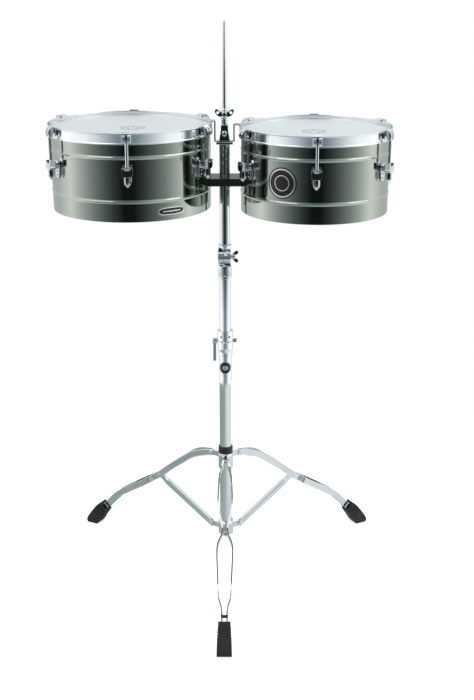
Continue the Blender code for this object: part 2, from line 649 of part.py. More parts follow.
def make_brace(name, azimuth):
    """A channel that straddles the hub ear and narrows to sit between the leg strips."""
    length = LINK
    sections = [
        (-6.0, 7.0, 3.9), (20.0, 7.0, 3.9), (length / MM - 34.0, 7.0, 3.9),
        (length / MM - 17.0, 3.7, 1.7), (length / MM + 6.0, 3.7, 1.7),
    ]
    verts = []
    for s, half, inner in sections:
        ring = [
            (-half, -5.5), (-half, 8.8), (half, 8.8), (half, -5.5),
            (inner, -5.5), (inner, 7.4), (-inner, 7.4), (-inner, -5.5),
        ]
        for t, n in ring:
            verts.append((s * MM, t * MM, n * MM))
    faces = [(0, 1, 6, 7), (1, 2, 5, 6), (2, 3, 4, 5)]
    last = 8 * (len(sections) - 1)
    faces += [tuple(last + j for j in face) for face in faces[:3]]
    for k in range(len(sections) - 1):
        for j in range(8):
            n = (j + 1) % 8
            faces.append((8 * k + j, 8 * k + n, 8 * k + 8 + n, 8 * k + 8 + j))
    brace = make(name, verts, faces)
    cut = box("tool", -0.02, 9.6 * MM, -0.01, 0.01, 6.6 * MM, 0.02)
    combine(brace, cut, "DIFFERENCE")
    hole = along_y(rod("tool", 4.2 * MM, -0.02, 0.02, 8), length, 0.0)
    combine(brace, hole, "DIFFERENCE")
    turn = Matrix.Rotation(-REST_ANGLE, 4, "Y")
    place(brace, Matrix.Translation((PIVOT_RHO, 0.0, HUB_Z)) @ turn)
    for z0, z1 in ((-8.6 * MM, -6.0 * MM), (6.0 * MM, 8.6 * MM)):
        rivet = along_y(rod("tool", 4.2 * MM, z0, z1, 8), PIVOT_RHO, HUB_Z)
        combine(brace, rivet)
    place(brace, spin(azimuth))
    paint(brace, *CHROME)
    return brace


def make_tripod():
    make_hub("leg_collar", 0.2760, COLLAR_Z + 9.6 * MM, COLLAR_Z, 19.6 * MM)
    bush = [
        (LOWER_TUBE_R + 0.35 * MM, COLLAR_Z + 10.0 * MM), (19.2 * MM, COLLAR_Z + 10.0 * MM),
        (19.2 * MM, COLLAR_Z + 28.0 * MM), (18.0 * MM, COLLAR_Z + 29.4 * MM),
        (LOWER_TUBE_R + 0.35 * MM, COLLAR_Z + 29.4 * MM),
    ]
    ring = lathe("collar_bush", bush, 24)
    paint(ring, *RUBBER)
    make_hub("lower_hub", HUB_Z - 16.0 * MM, HUB_Z + 22.0 * MM, HUB_Z, 20.5 * MM)
    for key, azimuth in LEG_AZ.items():
        make_leg("leg_" + key, azimuth)
        make_brace("brace_" + key, azimuth)
        make_foot("foot_" + key, azimuth)


def main():
    clear_scene()
    make_drum("large", LARGE_X, LARGE_R, LARGE_TOP, LARGE_LUG_AZ)
    make_drum("small", SMALL_X, SMALL_R, SMALL_TOP, SMALL_LUG_AZ)
    plate = make_badge("large_badge", LARGE_X, LARGE_R, 303.0, 0.9995, 34.0 * MM, 9.0 * MM, 3.0)
    paint(plate, *CHROME)
    plate = make_badge("small_badge", SMALL_X, SMALL_R, 241.5, 1.0625, 36.0 * MM, 36.0 * MM, 2.0)
    paint(plate, *BLACK)
    make_crossbar()
    make_top_hardware()
    make_tilter()
    make_column()
    make_tripod()
    shift = Matrix.Translation((COLUMN_X, COLUMN_Y, 0.0))
    for obj in bpy.data.objects:
        obj.data.transform(shift)
        obj.data.update()


main()
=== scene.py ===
import math
import bmesh
import bpy
from mathutils import Matrix, Vector


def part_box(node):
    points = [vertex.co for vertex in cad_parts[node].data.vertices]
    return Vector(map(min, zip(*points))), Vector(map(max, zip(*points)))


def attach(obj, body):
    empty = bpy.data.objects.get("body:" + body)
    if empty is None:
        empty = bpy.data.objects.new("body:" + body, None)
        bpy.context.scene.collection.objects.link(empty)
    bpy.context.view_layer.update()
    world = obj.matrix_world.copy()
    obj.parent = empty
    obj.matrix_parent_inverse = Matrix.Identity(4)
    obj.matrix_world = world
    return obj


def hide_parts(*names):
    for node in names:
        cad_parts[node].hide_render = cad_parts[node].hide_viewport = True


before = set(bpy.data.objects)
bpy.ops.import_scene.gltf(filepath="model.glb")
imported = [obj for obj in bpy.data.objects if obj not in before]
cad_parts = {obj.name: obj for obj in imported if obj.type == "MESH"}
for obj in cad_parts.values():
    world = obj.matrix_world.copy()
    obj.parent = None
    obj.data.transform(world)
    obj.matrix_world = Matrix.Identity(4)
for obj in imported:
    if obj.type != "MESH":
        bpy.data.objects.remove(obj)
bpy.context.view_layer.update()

MM = 0.001


def centre_of(node):
    low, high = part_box(node)
    return (Vector(low) + Vector(high)) / 2.0


def span(node):
    """The lowest and highest point of a CAD node."""
    low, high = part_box(node)
    return low[2], high[2]


# Every piece is made about the column's axis, in metres, and moved by HOME at the end.
# r: shell radius, az: first lug, badge: side badge (both in degrees), mark: head ring's offset.
COLUMN = centre_of("lower_tube")
PARTS = {
    "large": {"cx": centre_of("large_shell").x - COLUMN.x, "r": 190.5 * MM,
              "az": 272.5, "badge": 303.0, "mark": 9.0 * MM},
    "small": {"cx": centre_of("small_shell").x - COLUMN.x, "r": 177.8 * MM,
              "az": 267.5, "badge": 241.5, "mark": -6.0 * MM},
}
for label, drum in PARTS.items():
    drum["top"] = span(label + "_hoop")[1]
    drum["low"] = span(label + "_shell")[0]
ROD_LOW, ROD_TOP = span("cowbell_rod")
TILT_Z = centre_of("tilter_wing_screw").z
WING_Z = 1.2003
PLATE_LOW = span("top_plate")[0]
CLAMP_LOW, CLAMP_HIGH = span("height_clamp")
CLAMP_BOLT_Z = 0.6216
CLAMP_BOLT_Y = 25.0 * MM
COLUMN_BADGE_Z = 0.5607
BADGE_BEND = 16.0 * MM          # radius the column's badge is bent to
BEADS = (-155.8 * MM, -55.7 * MM)   # rolled beads, from the hoop's top
ROD_CIRCLE = 18.0 * MM          # tension rods, outside the shell
PIVOT_RHO = 43.0 * MM           # leg and brace pivots, from the column's axis
LINK = 198.0 * MM               # pivot to brace pin, on leg and brace alike
REST_ANGLE = math.radians(32.2)
HUB_Z = 98.5 * MM
COLLAR_Z = HUB_Z + 2.0 * LINK * math.sin(REST_ANGLE)
PIN_RHO = PIVOT_RHO + LINK * math.cos(REST_ANGLE)
PIN_Z = HUB_Z + LINK * math.sin(REST_ANGLE)
LEG_AZ = {"front": 270.0, "left": 150.0, "right": 30.0}
TUBE_SEG = 64
DRUM_SEG = 200


# ---------------------------------------------------------------- materials

def new_material(name):
    mat = bpy.data.materials.new(name)
    mat.use_nodes = True
    return mat, mat.node_tree.nodes, mat.node_tree.links, mat.node_tree.nodes["Principled BSDF"]


def noise(nodes, links, scale, detail, stretch=None):
    coord = nodes.new("ShaderNodeTexCoord")
    source = coord.outputs["Object"]
    if stretch is not None:
        mapping = nodes.new("ShaderNodeMapping")
        mapping.inputs["Scale"].default_value = stretch
        links.new(source, mapping.inputs["Vector"])
        source = mapping.outputs["Vector"]
    tex = nodes.new("ShaderNodeTexNoise")
    tex.inputs["Scale"].default_value = scale
    tex.inputs["Detail"].default_value = detail
    links.new(source, tex.inputs["Vector"])
    return tex.outputs["Fac"]


def ramp(nodes, links, source, stops):
    node = nodes.new("ShaderNodeValToRGB")
    ring = node.color_ramp.elements
    while len(ring) < len(stops):
        ring.new(0.5)
    for element, (position, colour) in zip(ring, stops):
        element.position = position
        if isinstance(colour, float):
            colour = (colour, colour, colour)
        element.color = (colour[0], colour[1], colour[2], 1.0)
    links.new(source, node.inputs["Fac"])
    return node.outputs["Color"]


def bump(nodes, links, source, shader, strength, distance):
    node = nodes.new("ShaderNodeBump")
    node.inputs["Strength"].default_value = strength
    node.inputs["Distance"].default_value = distance
    links.new(source, node.inputs["Height"])
    links.new(node.outputs["Normal"], shader.inputs["Normal"])


def metal(name, light, dark, rough_low, rough_high, scale, stretch=None):
    mat, nodes, links, shader = new_material(name)
    shader.inputs["Metallic"].default_value = 1.0
    cloud = noise(nodes, links, 9.0, 4.0)
    links.new(ramp(nodes, links, cloud, [(0.3, dark), (0.7, light)]), shader.inputs["Base Color"])
    fine = noise(nodes, links, scale, 6.0, stretch)
    gloss = ramp(nodes, links, fine, [(0.3, rough_low), (0.75, rough_high)])
    links.new(gloss, shader.inputs["Roughness"])
    bump(nodes, links, fine, shader, 0.05, 0.0002)
    return mat


def coated(name, light, dark, rough_low, rough_high, scale, depth, strength):
    mat, nodes, links, shader = new_material(name)
    cloud = noise(nodes, links, 14.0, 5.0)
    links.new(ramp(nodes, links, cloud, [(0.3, dark), (0.7, light)]), shader.inputs["Base Color"])
    fine = noise(nodes, links, scale, 4.0)
    gloss = ramp(nodes, links, fine, [(0.3, rough_low), (0.7, rough_high)])
    links.new(gloss, shader.inputs["Roughness"])
    bump(nodes, links, fine, shader, strength, depth)
    return mat


CHROME = metal("chrome_plate", (0.86, 0.88, 0.90), (0.80, 0.82, 0.84), 0.03, 0.08, 70.0)
HOOP = metal("hoop_chrome", (0.84, 0.87, 0.90), (0.78, 0.81, 0.84), 0.04, 0.10, 60.0)
NICKEL = metal("black_nickel", (0.445, 0.480, 0.435), (0.415, 0.450, 0.405),
               0.045, 0.09, 30.0, (1.0, 1.0, 9.0))
BLACK = coated("black_powder", (0.020, 0.020, 0.021), (0.010, 0.010, 0.011),
               0.25, 0.40, 900.0, 0.0002, 0.25)
RUBBER = coated("rubber", (0.022, 0.022, 0.023), (0.012, 0.012, 0.013),
                0.50, 0.72, 500.0, 0.0004, 0.5)
FILM = coated("head_film", (0.71, 0.75, 0.76), (0.68, 0.72, 0.735),
              0.28, 0.42, 260.0, 0.0002, 0.18)
RING_GREY = coated("ring_grey", (0.20, 0.24, 0.25), (0.15, 0.18, 0.19),
                   0.35, 0.50, 400.0, 0.0001, 0.2)
ENAMEL = coated("badge_enamel", (0.014, 0.014, 0.016), (0.008, 0.008, 0.009),
                0.12, 0.22, 300.0, 0.0001, 0.1)
SILVER = metal("badge_silver", (0.80, 0.81, 0.82), (0.66, 0.67, 0.68), 0.18, 0.32, 240.0)


# ---------------------------------------------------------------- mesh tools

def make(name, verts, faces):
    mesh = bpy.data.meshes.new(name)
    mesh.from_pydata([tuple(v) for v in verts], [], [tuple(f) for f in faces])
    bm = bmesh.new()
    bm.from_mesh(mesh)
    bmesh.ops.recalc_face_normals(bm, faces=bm.faces)
    bm.to_mesh(mesh)
    bm.free()
    obj = bpy.data.objects.new(name, mesh)
    bpy.context.scene.collection.objects.link(obj)
    return obj


def apply(obj, mod):
    bpy.context.view_layer.update()
    graph = bpy.context.evaluated_depsgraph_get()
    mesh = bpy.data.meshes.new_from_object(obj.evaluated_get(graph))
    obj.modifiers.remove(mod)
    obj.data = mesh


def combine(base, tool, operation="UNION"):
    mod = base.modifiers.new("join", "BOOLEAN")
    mod.operation = operation
    mod.solver = "EXACT"
    mod.object = tool
    apply(base, mod)
    bpy.data.objects.remove(tool)
    return base


def soften(obj, width=0.6 * MM, segments=2, angle=35.0):
    """Round the sharp edges and shade the rest smooth."""
    if width > 0.0:
        mod = obj.modifiers.new("bevel", "BEVEL")
        mod.width = width
        mod.segments = segments
        mod.limit_method = "ANGLE"
        mod.angle_limit = math.radians(angle)
        mod.use_clamp_overlap = True
        mod.harden_normals = False
        apply(obj, mod)
    obj.data.shade_smooth()
    obj.data.set_sharp_from_angle(angle=math.radians(40.0))
    mod = obj.modifiers.new("normals", "WEIGHTED_NORMAL")
    mod.keep_sharp = True
    mod.weight = 100
    apply(obj, mod)
    return obj


def place(obj, matrix):
    obj.data.transform(matrix)
    return obj


HOME = Matrix.Translation((COLUMN.x, COLUMN.y, 0.0))


def finish(obj, material, body, slot, *nodes):
    """Carry a piece from the column's axis to its place, give it its material, hang it on its body and hide the
    CAD nodes it stands for.
    """
    obj.data.materials.clear()
    obj.data.materials.append(material)
    obj.data.transform(HOME)
    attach(obj, body)
    if nodes:
        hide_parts(*nodes)
    return obj


def lathe(name, profile, segments=TUBE_SEG, centre=(0.0, 0.0), ring=True, phase=0.0):
    verts = []
    faces = []
    rings = []
    for r, z in profile:
        if r <= 0.0:
            rings.append([len(verts)])
            verts.append((centre[0], centre[1], z))
            continue
        row = []
        for k in range(segments):
            a = 2.0 * math.pi * k / segments + phase
            row.append(len(verts))
            verts.append((centre[0] + r * math.cos(a), centre[1] + r * math.sin(a), z))
        rings.append(row)
    count = len(rings)
    for i in range(count if ring else count - 1):
        a = rings[i]
        b = rings[(i + 1) % count]
        for k in range(segments):
            n = (k + 1) % segments
            if len(a) == 1:
                faces.append((a[0], b[k], b[n]))
            elif len(b) == 1:
                faces.append((a[k], a[n], b[0]))
            else:
                faces.append((a[k], a[n], b[n], b[k]))
    return make(name, verts, faces)


def tube(name, outer, inner, low, high, segments=TUBE_SEG):
    return lathe(name, [(outer, low), (outer, high), (inner, high), (inner, low)], segments)


def rod(name, radius, low, high, segments=32, chamfer=0.0):
    if chamfer > 0.0:
        profile = [(0.0, low), (radius - chamfer, low), (radius, low + chamfer)]
        profile += [(radius, high - chamfer), (radius - chamfer, high), (0.0, high)]
    else:
        profile = [(0.0, low), (radius, low), (radius, high), (0.0, high)]
    return lathe(name, profile, segments, ring=False)


def dome(name, radius, low, high, rise, segments=24):
    """A rivet or screw head: a short cylinder with a rounded crown."""
    profile = [(0.0, low), (radius, low), (radius, high)]
    for k in range(1, 6):
        a = math.radians(90.0 * k / 6.0)
        profile.append((radius * math.cos(a), high + rise * math.sin(a)))
    profile.append((0.0, high + rise))
    return lathe(name, profile, segments, ring=False)


def along_x(obj, y=0.0, z=0.0):
    turn = Matrix.Rotation(math.radians(90.0), 4, "Y")
    return place(obj, Matrix.Translation((0.0, y, z)) @ turn)


def along_y(obj, x=0.0, z=0.0):
    turn = Matrix.Rotation(math.radians(90.0), 4, "X")
    return place(obj, Matrix.Translation((x, 0.0, z)) @ turn)


def prism(name, outline, low, high, plane="xy"):
    verts = []
    for w in (low, high):
        for u, v in outline:
            if plane == "xy":
                verts.append((u, v, w))
            elif plane == "xz":
                verts.append((u, w, v))
            else:
                verts.append((w, u, v))
    n = len(outline)
    faces = [tuple(range(n)), tuple(range(n, 2 * n))]
    for k in range(n):
        j = (k + 1) % n
        faces.append((k, j, n + j, n + k))
    return make(name, verts, faces)


def box(name, x0, x1, y0, y1, z0, z1):
    return prism(name, [(x0, y0), (x1, y0), (x1, y1), (x0, y1)], z0, z1)


def arc(cx, cy, r, start, end, steps):
    points = []
    for k in range(steps + 1):
        a = math.radians(start + (end - start) * k / steps)
        points.append((cx + r * math.cos(a), cy + r * math.sin(a)))
    return points


def spin(azimuth, centre=(0.0, 0.0)):
    turn = Matrix.Rotation(math.radians(azimuth), 4, "Z")
    return Matrix.Translation((centre[0], centre[1], 0.0)) @ turn


def smooth_path(points, steps):
    """Catmull-Rom curve through tuples of any length."""
    out = []
    last = len(points) - 1
    for i in range(last):
        p0 = points[max(0, i - 1)]
        p1 = points[i]
        p2 = points[i + 1]
        p3 = points[min(last, i + 2)]
        for k in range(steps):
            t = k / steps
            row = []
            for a, b, c, d in zip(p0, p1, p2, p3):
                row.append(0.5 * (2 * b + (c - a) * t + (2 * a - 5 * b + 4 * c - d) * t * t
                                  + (3 * b - a - 3 * c + d) * t ** 3))
            out.append(tuple(row))
    out.append(tuple(points[-1]))
    return out


# ---------------------------------------------------------------- drums

def drum_shell(label, d):
    r = d["r"]
    low = d["low"]
    top = d["top"]
    outer = [(r - 1.3 * MM, low + 0.6 * MM)]
    outer += [(r - 0.9 * MM, low), (r - 0.3 * MM, low), (r, low + 0.7 * MM)]
    for bead in BEADS:
        z = top + bead
        outer.append((r, z - 4.8 * MM))
        for k in range(9):
            t = -1.0 + 2.0 * k / 8.0
            rise = 0.5 + 0.5 * math.cos(math.pi * t)
            outer.append((r + 1.4 * MM * rise, z + 4.0 * MM * t))
        outer.append((r, z + 4.8 * MM))
    outer += [(r, top - 12.4 * MM), (r - 0.4 * MM, top - 11.5 * MM), (r - 1.0 * MM, top - 11.5 * MM)]
    for bead in reversed(BEADS):
        z = top + bead
        for k in range(9):
            t = 1.0 - 2.0 * k / 8.0
            rise = 0.5 + 0.5 * math.cos(math.pi * t)
            outer.append((r - 1.3 * MM + 1.6 * MM * rise, z + 4.0 * MM * t))
    obj = lathe("v_%s_shell" % label, outer, DRUM_SEG, (d["cx"], 0.0))
    soften(obj, 0.0)
    finish(obj, NICKEL, "drum_rack", "black_nickel", label + "_shell")


def drum_hoop(label, d):
    r = d["r"]
    top = d["top"]
    low = top - 25.5 * MM
    profile = [
        (r + 2.9 * MM, low + 0.3 * MM), (r + 3.4 * MM, low),
        (r + 5.7 * MM, low), (r + 6.2 * MM, low + 0.6 * MM),
        (r + 6.2 * MM, low + 2.3 * MM), (r + 5.8 * MM, low + 2.9 * MM), (r + 5.3 * MM, low + 3.4 * MM),
        (r + 5.1 * MM, low + 4.4 * MM), (r + 4.2 * MM, top - 3.4 * MM), (r + 5.0 * MM, top - 2.4 * MM),
        (r + 5.5 * MM, top - 1.4 * MM), (r + 5.3 * MM, top - 0.5 * MM), (r + 4.6 * MM, top),
        (r + 3.8 * MM, top), (r + 3.2 * MM, top - 0.6 * MM), (r + 3.0 * MM, top - 2.0 * MM),
        (r + 2.9 * MM, top - 9.6 * MM), (r + 2.3 * MM, top - 10.1 * MM), (r + 1.1 * MM, top - 10.3 * MM),
        (r + 1.1 * MM, top - 11.8 * MM), (r + 2.9 * MM, top - 12.0 * MM),
    ]
    obj = lathe("v_%s_hoop" % label, profile, DRUM_SEG, (d["cx"], 0.0))
    soften(obj, 0.0)
    finish(obj, HOOP, "drum_rack", "chrome", label + "_hoop")


def drum_head(label, d):
    r = d["r"]
    z = d["top"] - 10.0 * MM
    profile = [
        (0.0, z), (0.3 * r, z), (0.6 * r, z), (0.85 * r, z), (r - 6.0 * MM, z),
        (r - 1.2 * MM, z - 0.05 * MM),
        (r + 0.2 * MM, z - 0.3 * MM), (r + 0.7 * MM, z - 0.9 * MM), (r + 0.75 * MM, z - 2.5 * MM),
        (r + 2.2 * MM, z - 2.7 * MM), (r + 2.5 * MM, z - 3.2 * MM), (r + 2.5 * MM, z - 9.2 * MM),
        (r + 2.1 * MM, z - 9.6 * MM), (r + 0.4 * MM, z - 9.6 * MM), (r + 0.35 * MM, z - 1.0 * MM),
        (r - 2.0 * MM, z - 0.9 * MM), (0.5 * r, z - 0.9 * MM), (0.0, z - 0.9 * MM),
    ]
    obj = lathe("v_%s_head" % label, profile, DRUM_SEG, (d["cx"], 0.0), ring=False)
    soften(obj, 0.0)
    finish(obj, FILM, "drum_rack", "head_film", label + "_head")
    # Printed ring towards the player's edge, a hair's breadth of ink on the film.
    middle = (d["cx"] + d["mark"], -0.20 * r)
    low = z + 0.02 * MM
    high = z + 0.10 * MM
    for name, outer, inner in (("ring", 29.0 * MM, 26.6 * MM), ("band", 23.5 * MM, 22.6 * MM)):
        ink = [(outer, low), (outer, high), (inner, high), (inner, low)]
        obj = lathe("v_%s_head_%s" % (label, name), ink, 96, middle)
        finish(soften(obj, 0.0), RING_GREY, "drum_rack", "head_film")
    outline = [(9.0 * MM, -1.3 * MM), (19.0 * MM, -2.6 * MM), (20.0 * MM, 0.0),
               (19.0 * MM, 2.6 * MM), (9.0 * MM, 1.3 * MM)]
    for k in range(5):
        blade = prism("v_%s_head_mark_%d" % (label, k + 1), outline, low, high)
        place(blade, spin(90.0 + 72.0 * k, middle))
        finish(soften(blade, 0.0), RING_GREY, "drum_rack", "head_film")


def lug(label, d, index):
    r = d["r"]
    c = r + ROD_CIRCLE
    top = d["top"]
    near = r + 0.5 * MM
    station = spin(d["az"] + 60.0 * (index - 1), (d["cx"], 0.0))

    def from_top(outline):
        return [(u * MM, top + v * MM) for u, v in outline]

    body = from_top((
        (-12.0, -74.4), (-11.2, -73.8), (-10.0, -74.0), (-4.4, -79.2), (4.4, -79.2),
        (10.0, -74.0), (11.2, -73.8), (12.0, -74.4), (12.0, -87.5), (11.2, -91.0),
        (8.2, -94.6), (-8.2, -94.6), (-11.2, -91.0), (-12.0, -87.5)))
    obj = prism("v_%s_lug_%d" % (label, index), body, c - 7.6 * MM, c + 7.6 * MM, "yz")
    nut = from_top((
        (0.0, -93.0), (7.8, -93.0), (7.8, -110.4), (6.8, -112.0),
        (2.6, -117.6), (1.4, -118.6), (0.0, -118.6)))
    combine(obj, lathe("tool", nut, 6, (c, 0.0), ring=False, phase=math.radians(30.0)))
    plate = from_top((
        (-11.5, -75.4), (11.5, -75.4), (12.3, -83.0), (10.4, -99.0), (8.8, -110.4), (5.0, -115.8),
        (-5.0, -115.8), (-8.8, -110.4), (-10.4, -99.0), (-12.3, -83.0)))
    combine(obj, prism("tool", plate, near, near + 2.6 * MM, "yz"))
    arm = from_top(((-6.5, -80.0), (6.5, -80.0), (6.5, -89.0), (4.0, -94.0), (-4.0, -94.0), (-6.5, -89.0)))
    combine(obj, prism("tool", arm, near + 1.0 * MM, c - 5.0 * MM, "yz"))
    hole = from_top(((0.0, -73.0), (4.25, -73.0), (4.25, -95.5), (0.0, -95.5)))
    combine(obj, lathe("tool", hole, 20, (c, 0.0), ring=False), "DIFFERENCE")
    soften(obj, 0.7 * MM)
    place(obj, station)
    finish(obj, CHROME, "drum_rack", "chrome", "%s_lug_%d" % (label, index))
    for k, z in enumerate((-99.5, -109.0)):
        name = "v_%s_lug_screw_%d_%d" % (label, index, k + 1)
        screw = dome(name, 2.6 * MM, 0.0, 0.8 * MM, 1.0 * MM, 16)
        turn = Matrix.Rotation(math.radians(90.0), 4, "Y")
        place(screw, Matrix.Translation((near + 2.5 * MM, 0.0, top + z * MM)) @ turn)
        place(screw, station)
        finish(soften(screw, 0.0), SILVER, "drum_rack", "chrome")


def claw(label, d, index):
    r = d["r"]
    c = r + ROD_CIRCLE
    top = d["top"]
    side = [
        (0.3, -4.0), (0.2, 1.2), (1.0, 2.4), (3.0, 3.0), (10.0, 3.4), (14.0, 2.9),
        (18.2, 1.2), (22.0, -2.6), (23.9, -7.0), (24.1, -11.0), (23.2, -15.6), (21.2, -19.6),
        (15.2, -19.6), (14.2, -15.0), (12.6, -11.6), (10.0, -9.6), (8.8, -12.0), (8.4, -17.6),
        (6.9, -17.6), (6.1, 0.4), (1.9, 0.4), (1.7, -4.0),
    ]
    obj = prism("v_%s_tension_rod_%d" % (label, index), [(r + u * MM, top + v * MM) for u, v in side],
                -11.0 * MM, 11.0 * MM, "xz")
    # A channel down the outer face leaves the two rolled sides of the claw.
    groove = box("tool", c + 3.2 * MM, c + 9.0 * MM, -2.3 * MM, 2.3 * MM, top - 30.0 * MM, top - 1.5 * MM)
    combine(obj, groove, "DIFFERENCE")
    for s in (-1.0, 1.0):
        corner = [(c - 2.0 * MM, s * 12.0 * MM), (c + 8.0 * MM, s * 12.0 * MM), (c + 8.0 * MM, s * 8.2 * MM)]
        combine(obj, prism("tool", corner, top - 30.0 * MM, top + 5.0 * MM), "DIFFERENCE")
    high = top - 12.0 * MM
    low = top - 93.5 * MM
    shank = [(0.0, high), (3.7 * MM, high), (3.7 * MM, low), (0.0, low)]
    combine(obj, lathe("tool", shank, 24, (c, 0.0), ring=False))
    soften(obj, 0.6 * MM)
    place(obj, spin(d["az"] + 60.0 * (index - 1), (d["cx"], 0.0)))
    finish(obj, CHROME, "drum_rack", "chrome", "%s_tension_rod_%d" % (label, index))


def bent_plate(name, radii, scales, point, count):
    """Two curved layers, each of rings from the middle out, joined round the edge."""
    verts = []
    faces = []
    layers = []
    for r in radii:
        rows = []
        for s in scales:
            row = []
            for k in range(count if s > 0.0 else 1):
                row.append(len(verts))
                verts.append(point(r, s, 2.0 * math.pi * k / count))
            rows.append(row)
        layers.append(rows)
    for k in range(count):
        n = (k + 1) % count
        for rows in layers:
            faces.append((rows[0][0], rows[1][k], rows[1][n]))
            for a, b in zip(rows[1:], rows[2:]):
                faces.append((a[k], b[k], b[n], a[n]))
        near, far = layers[0][-1], layers[1][-1]
        faces.append((near[k], near[n], far[n], far[k]))
    return make(name, verts, faces)


def curved_plate(name, d, z, half_w, half_h, power, near, far, count=64):
    """A thin plate bent round the shell, with a superellipse outline."""
    r0 = d["r"]

    def point(r, s, a):
        r -= 0.25 * MM if (s == 1.0 and r > r0 + near) else 0.0
        u = half_w * s * math.copysign(abs(math.cos(a)) ** (2.0 / power), math.cos(a))
        v = half_h * s * math.copysign(abs(math.sin(a)) ** (2.0 / power), math.sin(a))
        return r * math.cos(u / r0), r * math.sin(u / r0), z + v

    obj = bent_plate(name, (r0 + near, r0 + far), (0.0, 0.25, 0.5, 0.75, 0.94, 1.0), point, count)
    return soften(place(obj, spin(d["badge"], (d["cx"], 0.0))), 0.0)


def wrap_disc(name, radius, near, far, z):
    """A round plate bent round the tube on its front side."""
    def point(r, s, a):
        u = radius * s * math.cos(a) / BADGE_BEND
        return r * math.sin(u), -r * math.cos(u), z + radius * s * math.sin(a)

    return soften(bent_plate(name, (near, far), (0.0, 0.35, 0.7, 0.95, 1.0), point, 64), 0.0)


def badges():
    d = PARTS["large"]
    z = centre_of("large_badge").z
    obj = curved_plate("v_large_badge", d, z, 34.0 * MM, 9.0 * MM, 3.0, 0.35 * MM, 1.20 * MM)
    finish(obj, SILVER, "drum_rack", "badge_metal", "large_badge")
    obj = curved_plate("v_large_badge_field", d, z, 31.6 * MM, 6.8 * MM, 3.0, 1.0 * MM, 1.45 * MM)
    finish(obj, ENAMEL, "drum_rack", "badge_metal")
    obj = curved_plate("v_large_badge_bar", d, z, 24.0 * MM, 1.7 * MM, 4.0, 1.3 * MM, 1.60 * MM)
    finish(obj, SILVER, "drum_rack", "badge_metal")
    d = PARTS["small"]
    z = centre_of("small_badge").z
    steps = (
        ("v_small_badge", ENAMEL, 36.0, 0.35, 1.05), ("v_small_badge_ring", SILVER, 33.0, 0.9, 1.30),
        ("v_small_badge_field", ENAMEL, 30.6, 1.1, 1.45), ("v_small_badge_inner", SILVER, 19.0, 1.3, 1.55),
        ("v_small_badge_centre", ENAMEL, 17.2, 1.4, 1.65),
    )
    for name, mat, half, near, far in steps:
        obj = curved_plate(name, d, z, half * MM, half * MM, 2.0, near * MM, far * MM, 96)
        nodes = ("small_badge",) if name == "v_small_badge" else ()
        finish(obj, mat, "drum_rack", "badge_dark", *nodes)


# ---------------------------------------------------------------- rack hardware

def crossbar():
    d = 37.0 * MM
    gap = 0.4 * MM
    low, high = span("crossbar")
    rl = PARTS["large"]["r"] + gap
    rs = PARTS["small"]["r"] + gap
    a1 = math.degrees(math.asin(d / rl))
    a2 = math.degrees(math.asin(d / rs))
    outline = arc(PARTS["large"]["cx"], 0.0, rl, a1, -a1, 24)
    outline += arc(PARTS["small"]["cx"], 0.0, rs, 180.0 + a2, 180.0 - a2, 24)
    bar = prism("v_crossbar", outline, low, high)
    combine(bar, rod("tool", 13.0 * MM, low - 0.01, high + 0.01, TUBE_SEG), "DIFFERENCE")
    # A shallow channel along the front and back leaves the folded lips.
    for s in (-1.0, 1.0):
        cut = box("tool", -0.1, 0.1, s * 36.2 * MM, s * 40.0 * MM, low + 3.0 * MM, high - 3.0 * MM)
        combine(bar, cut, "DIFFERENCE")
    soften(bar, 0.9 * MM, 3)
    finish(bar, BLACK, "drum_rack", "black_paint", "crossbar")


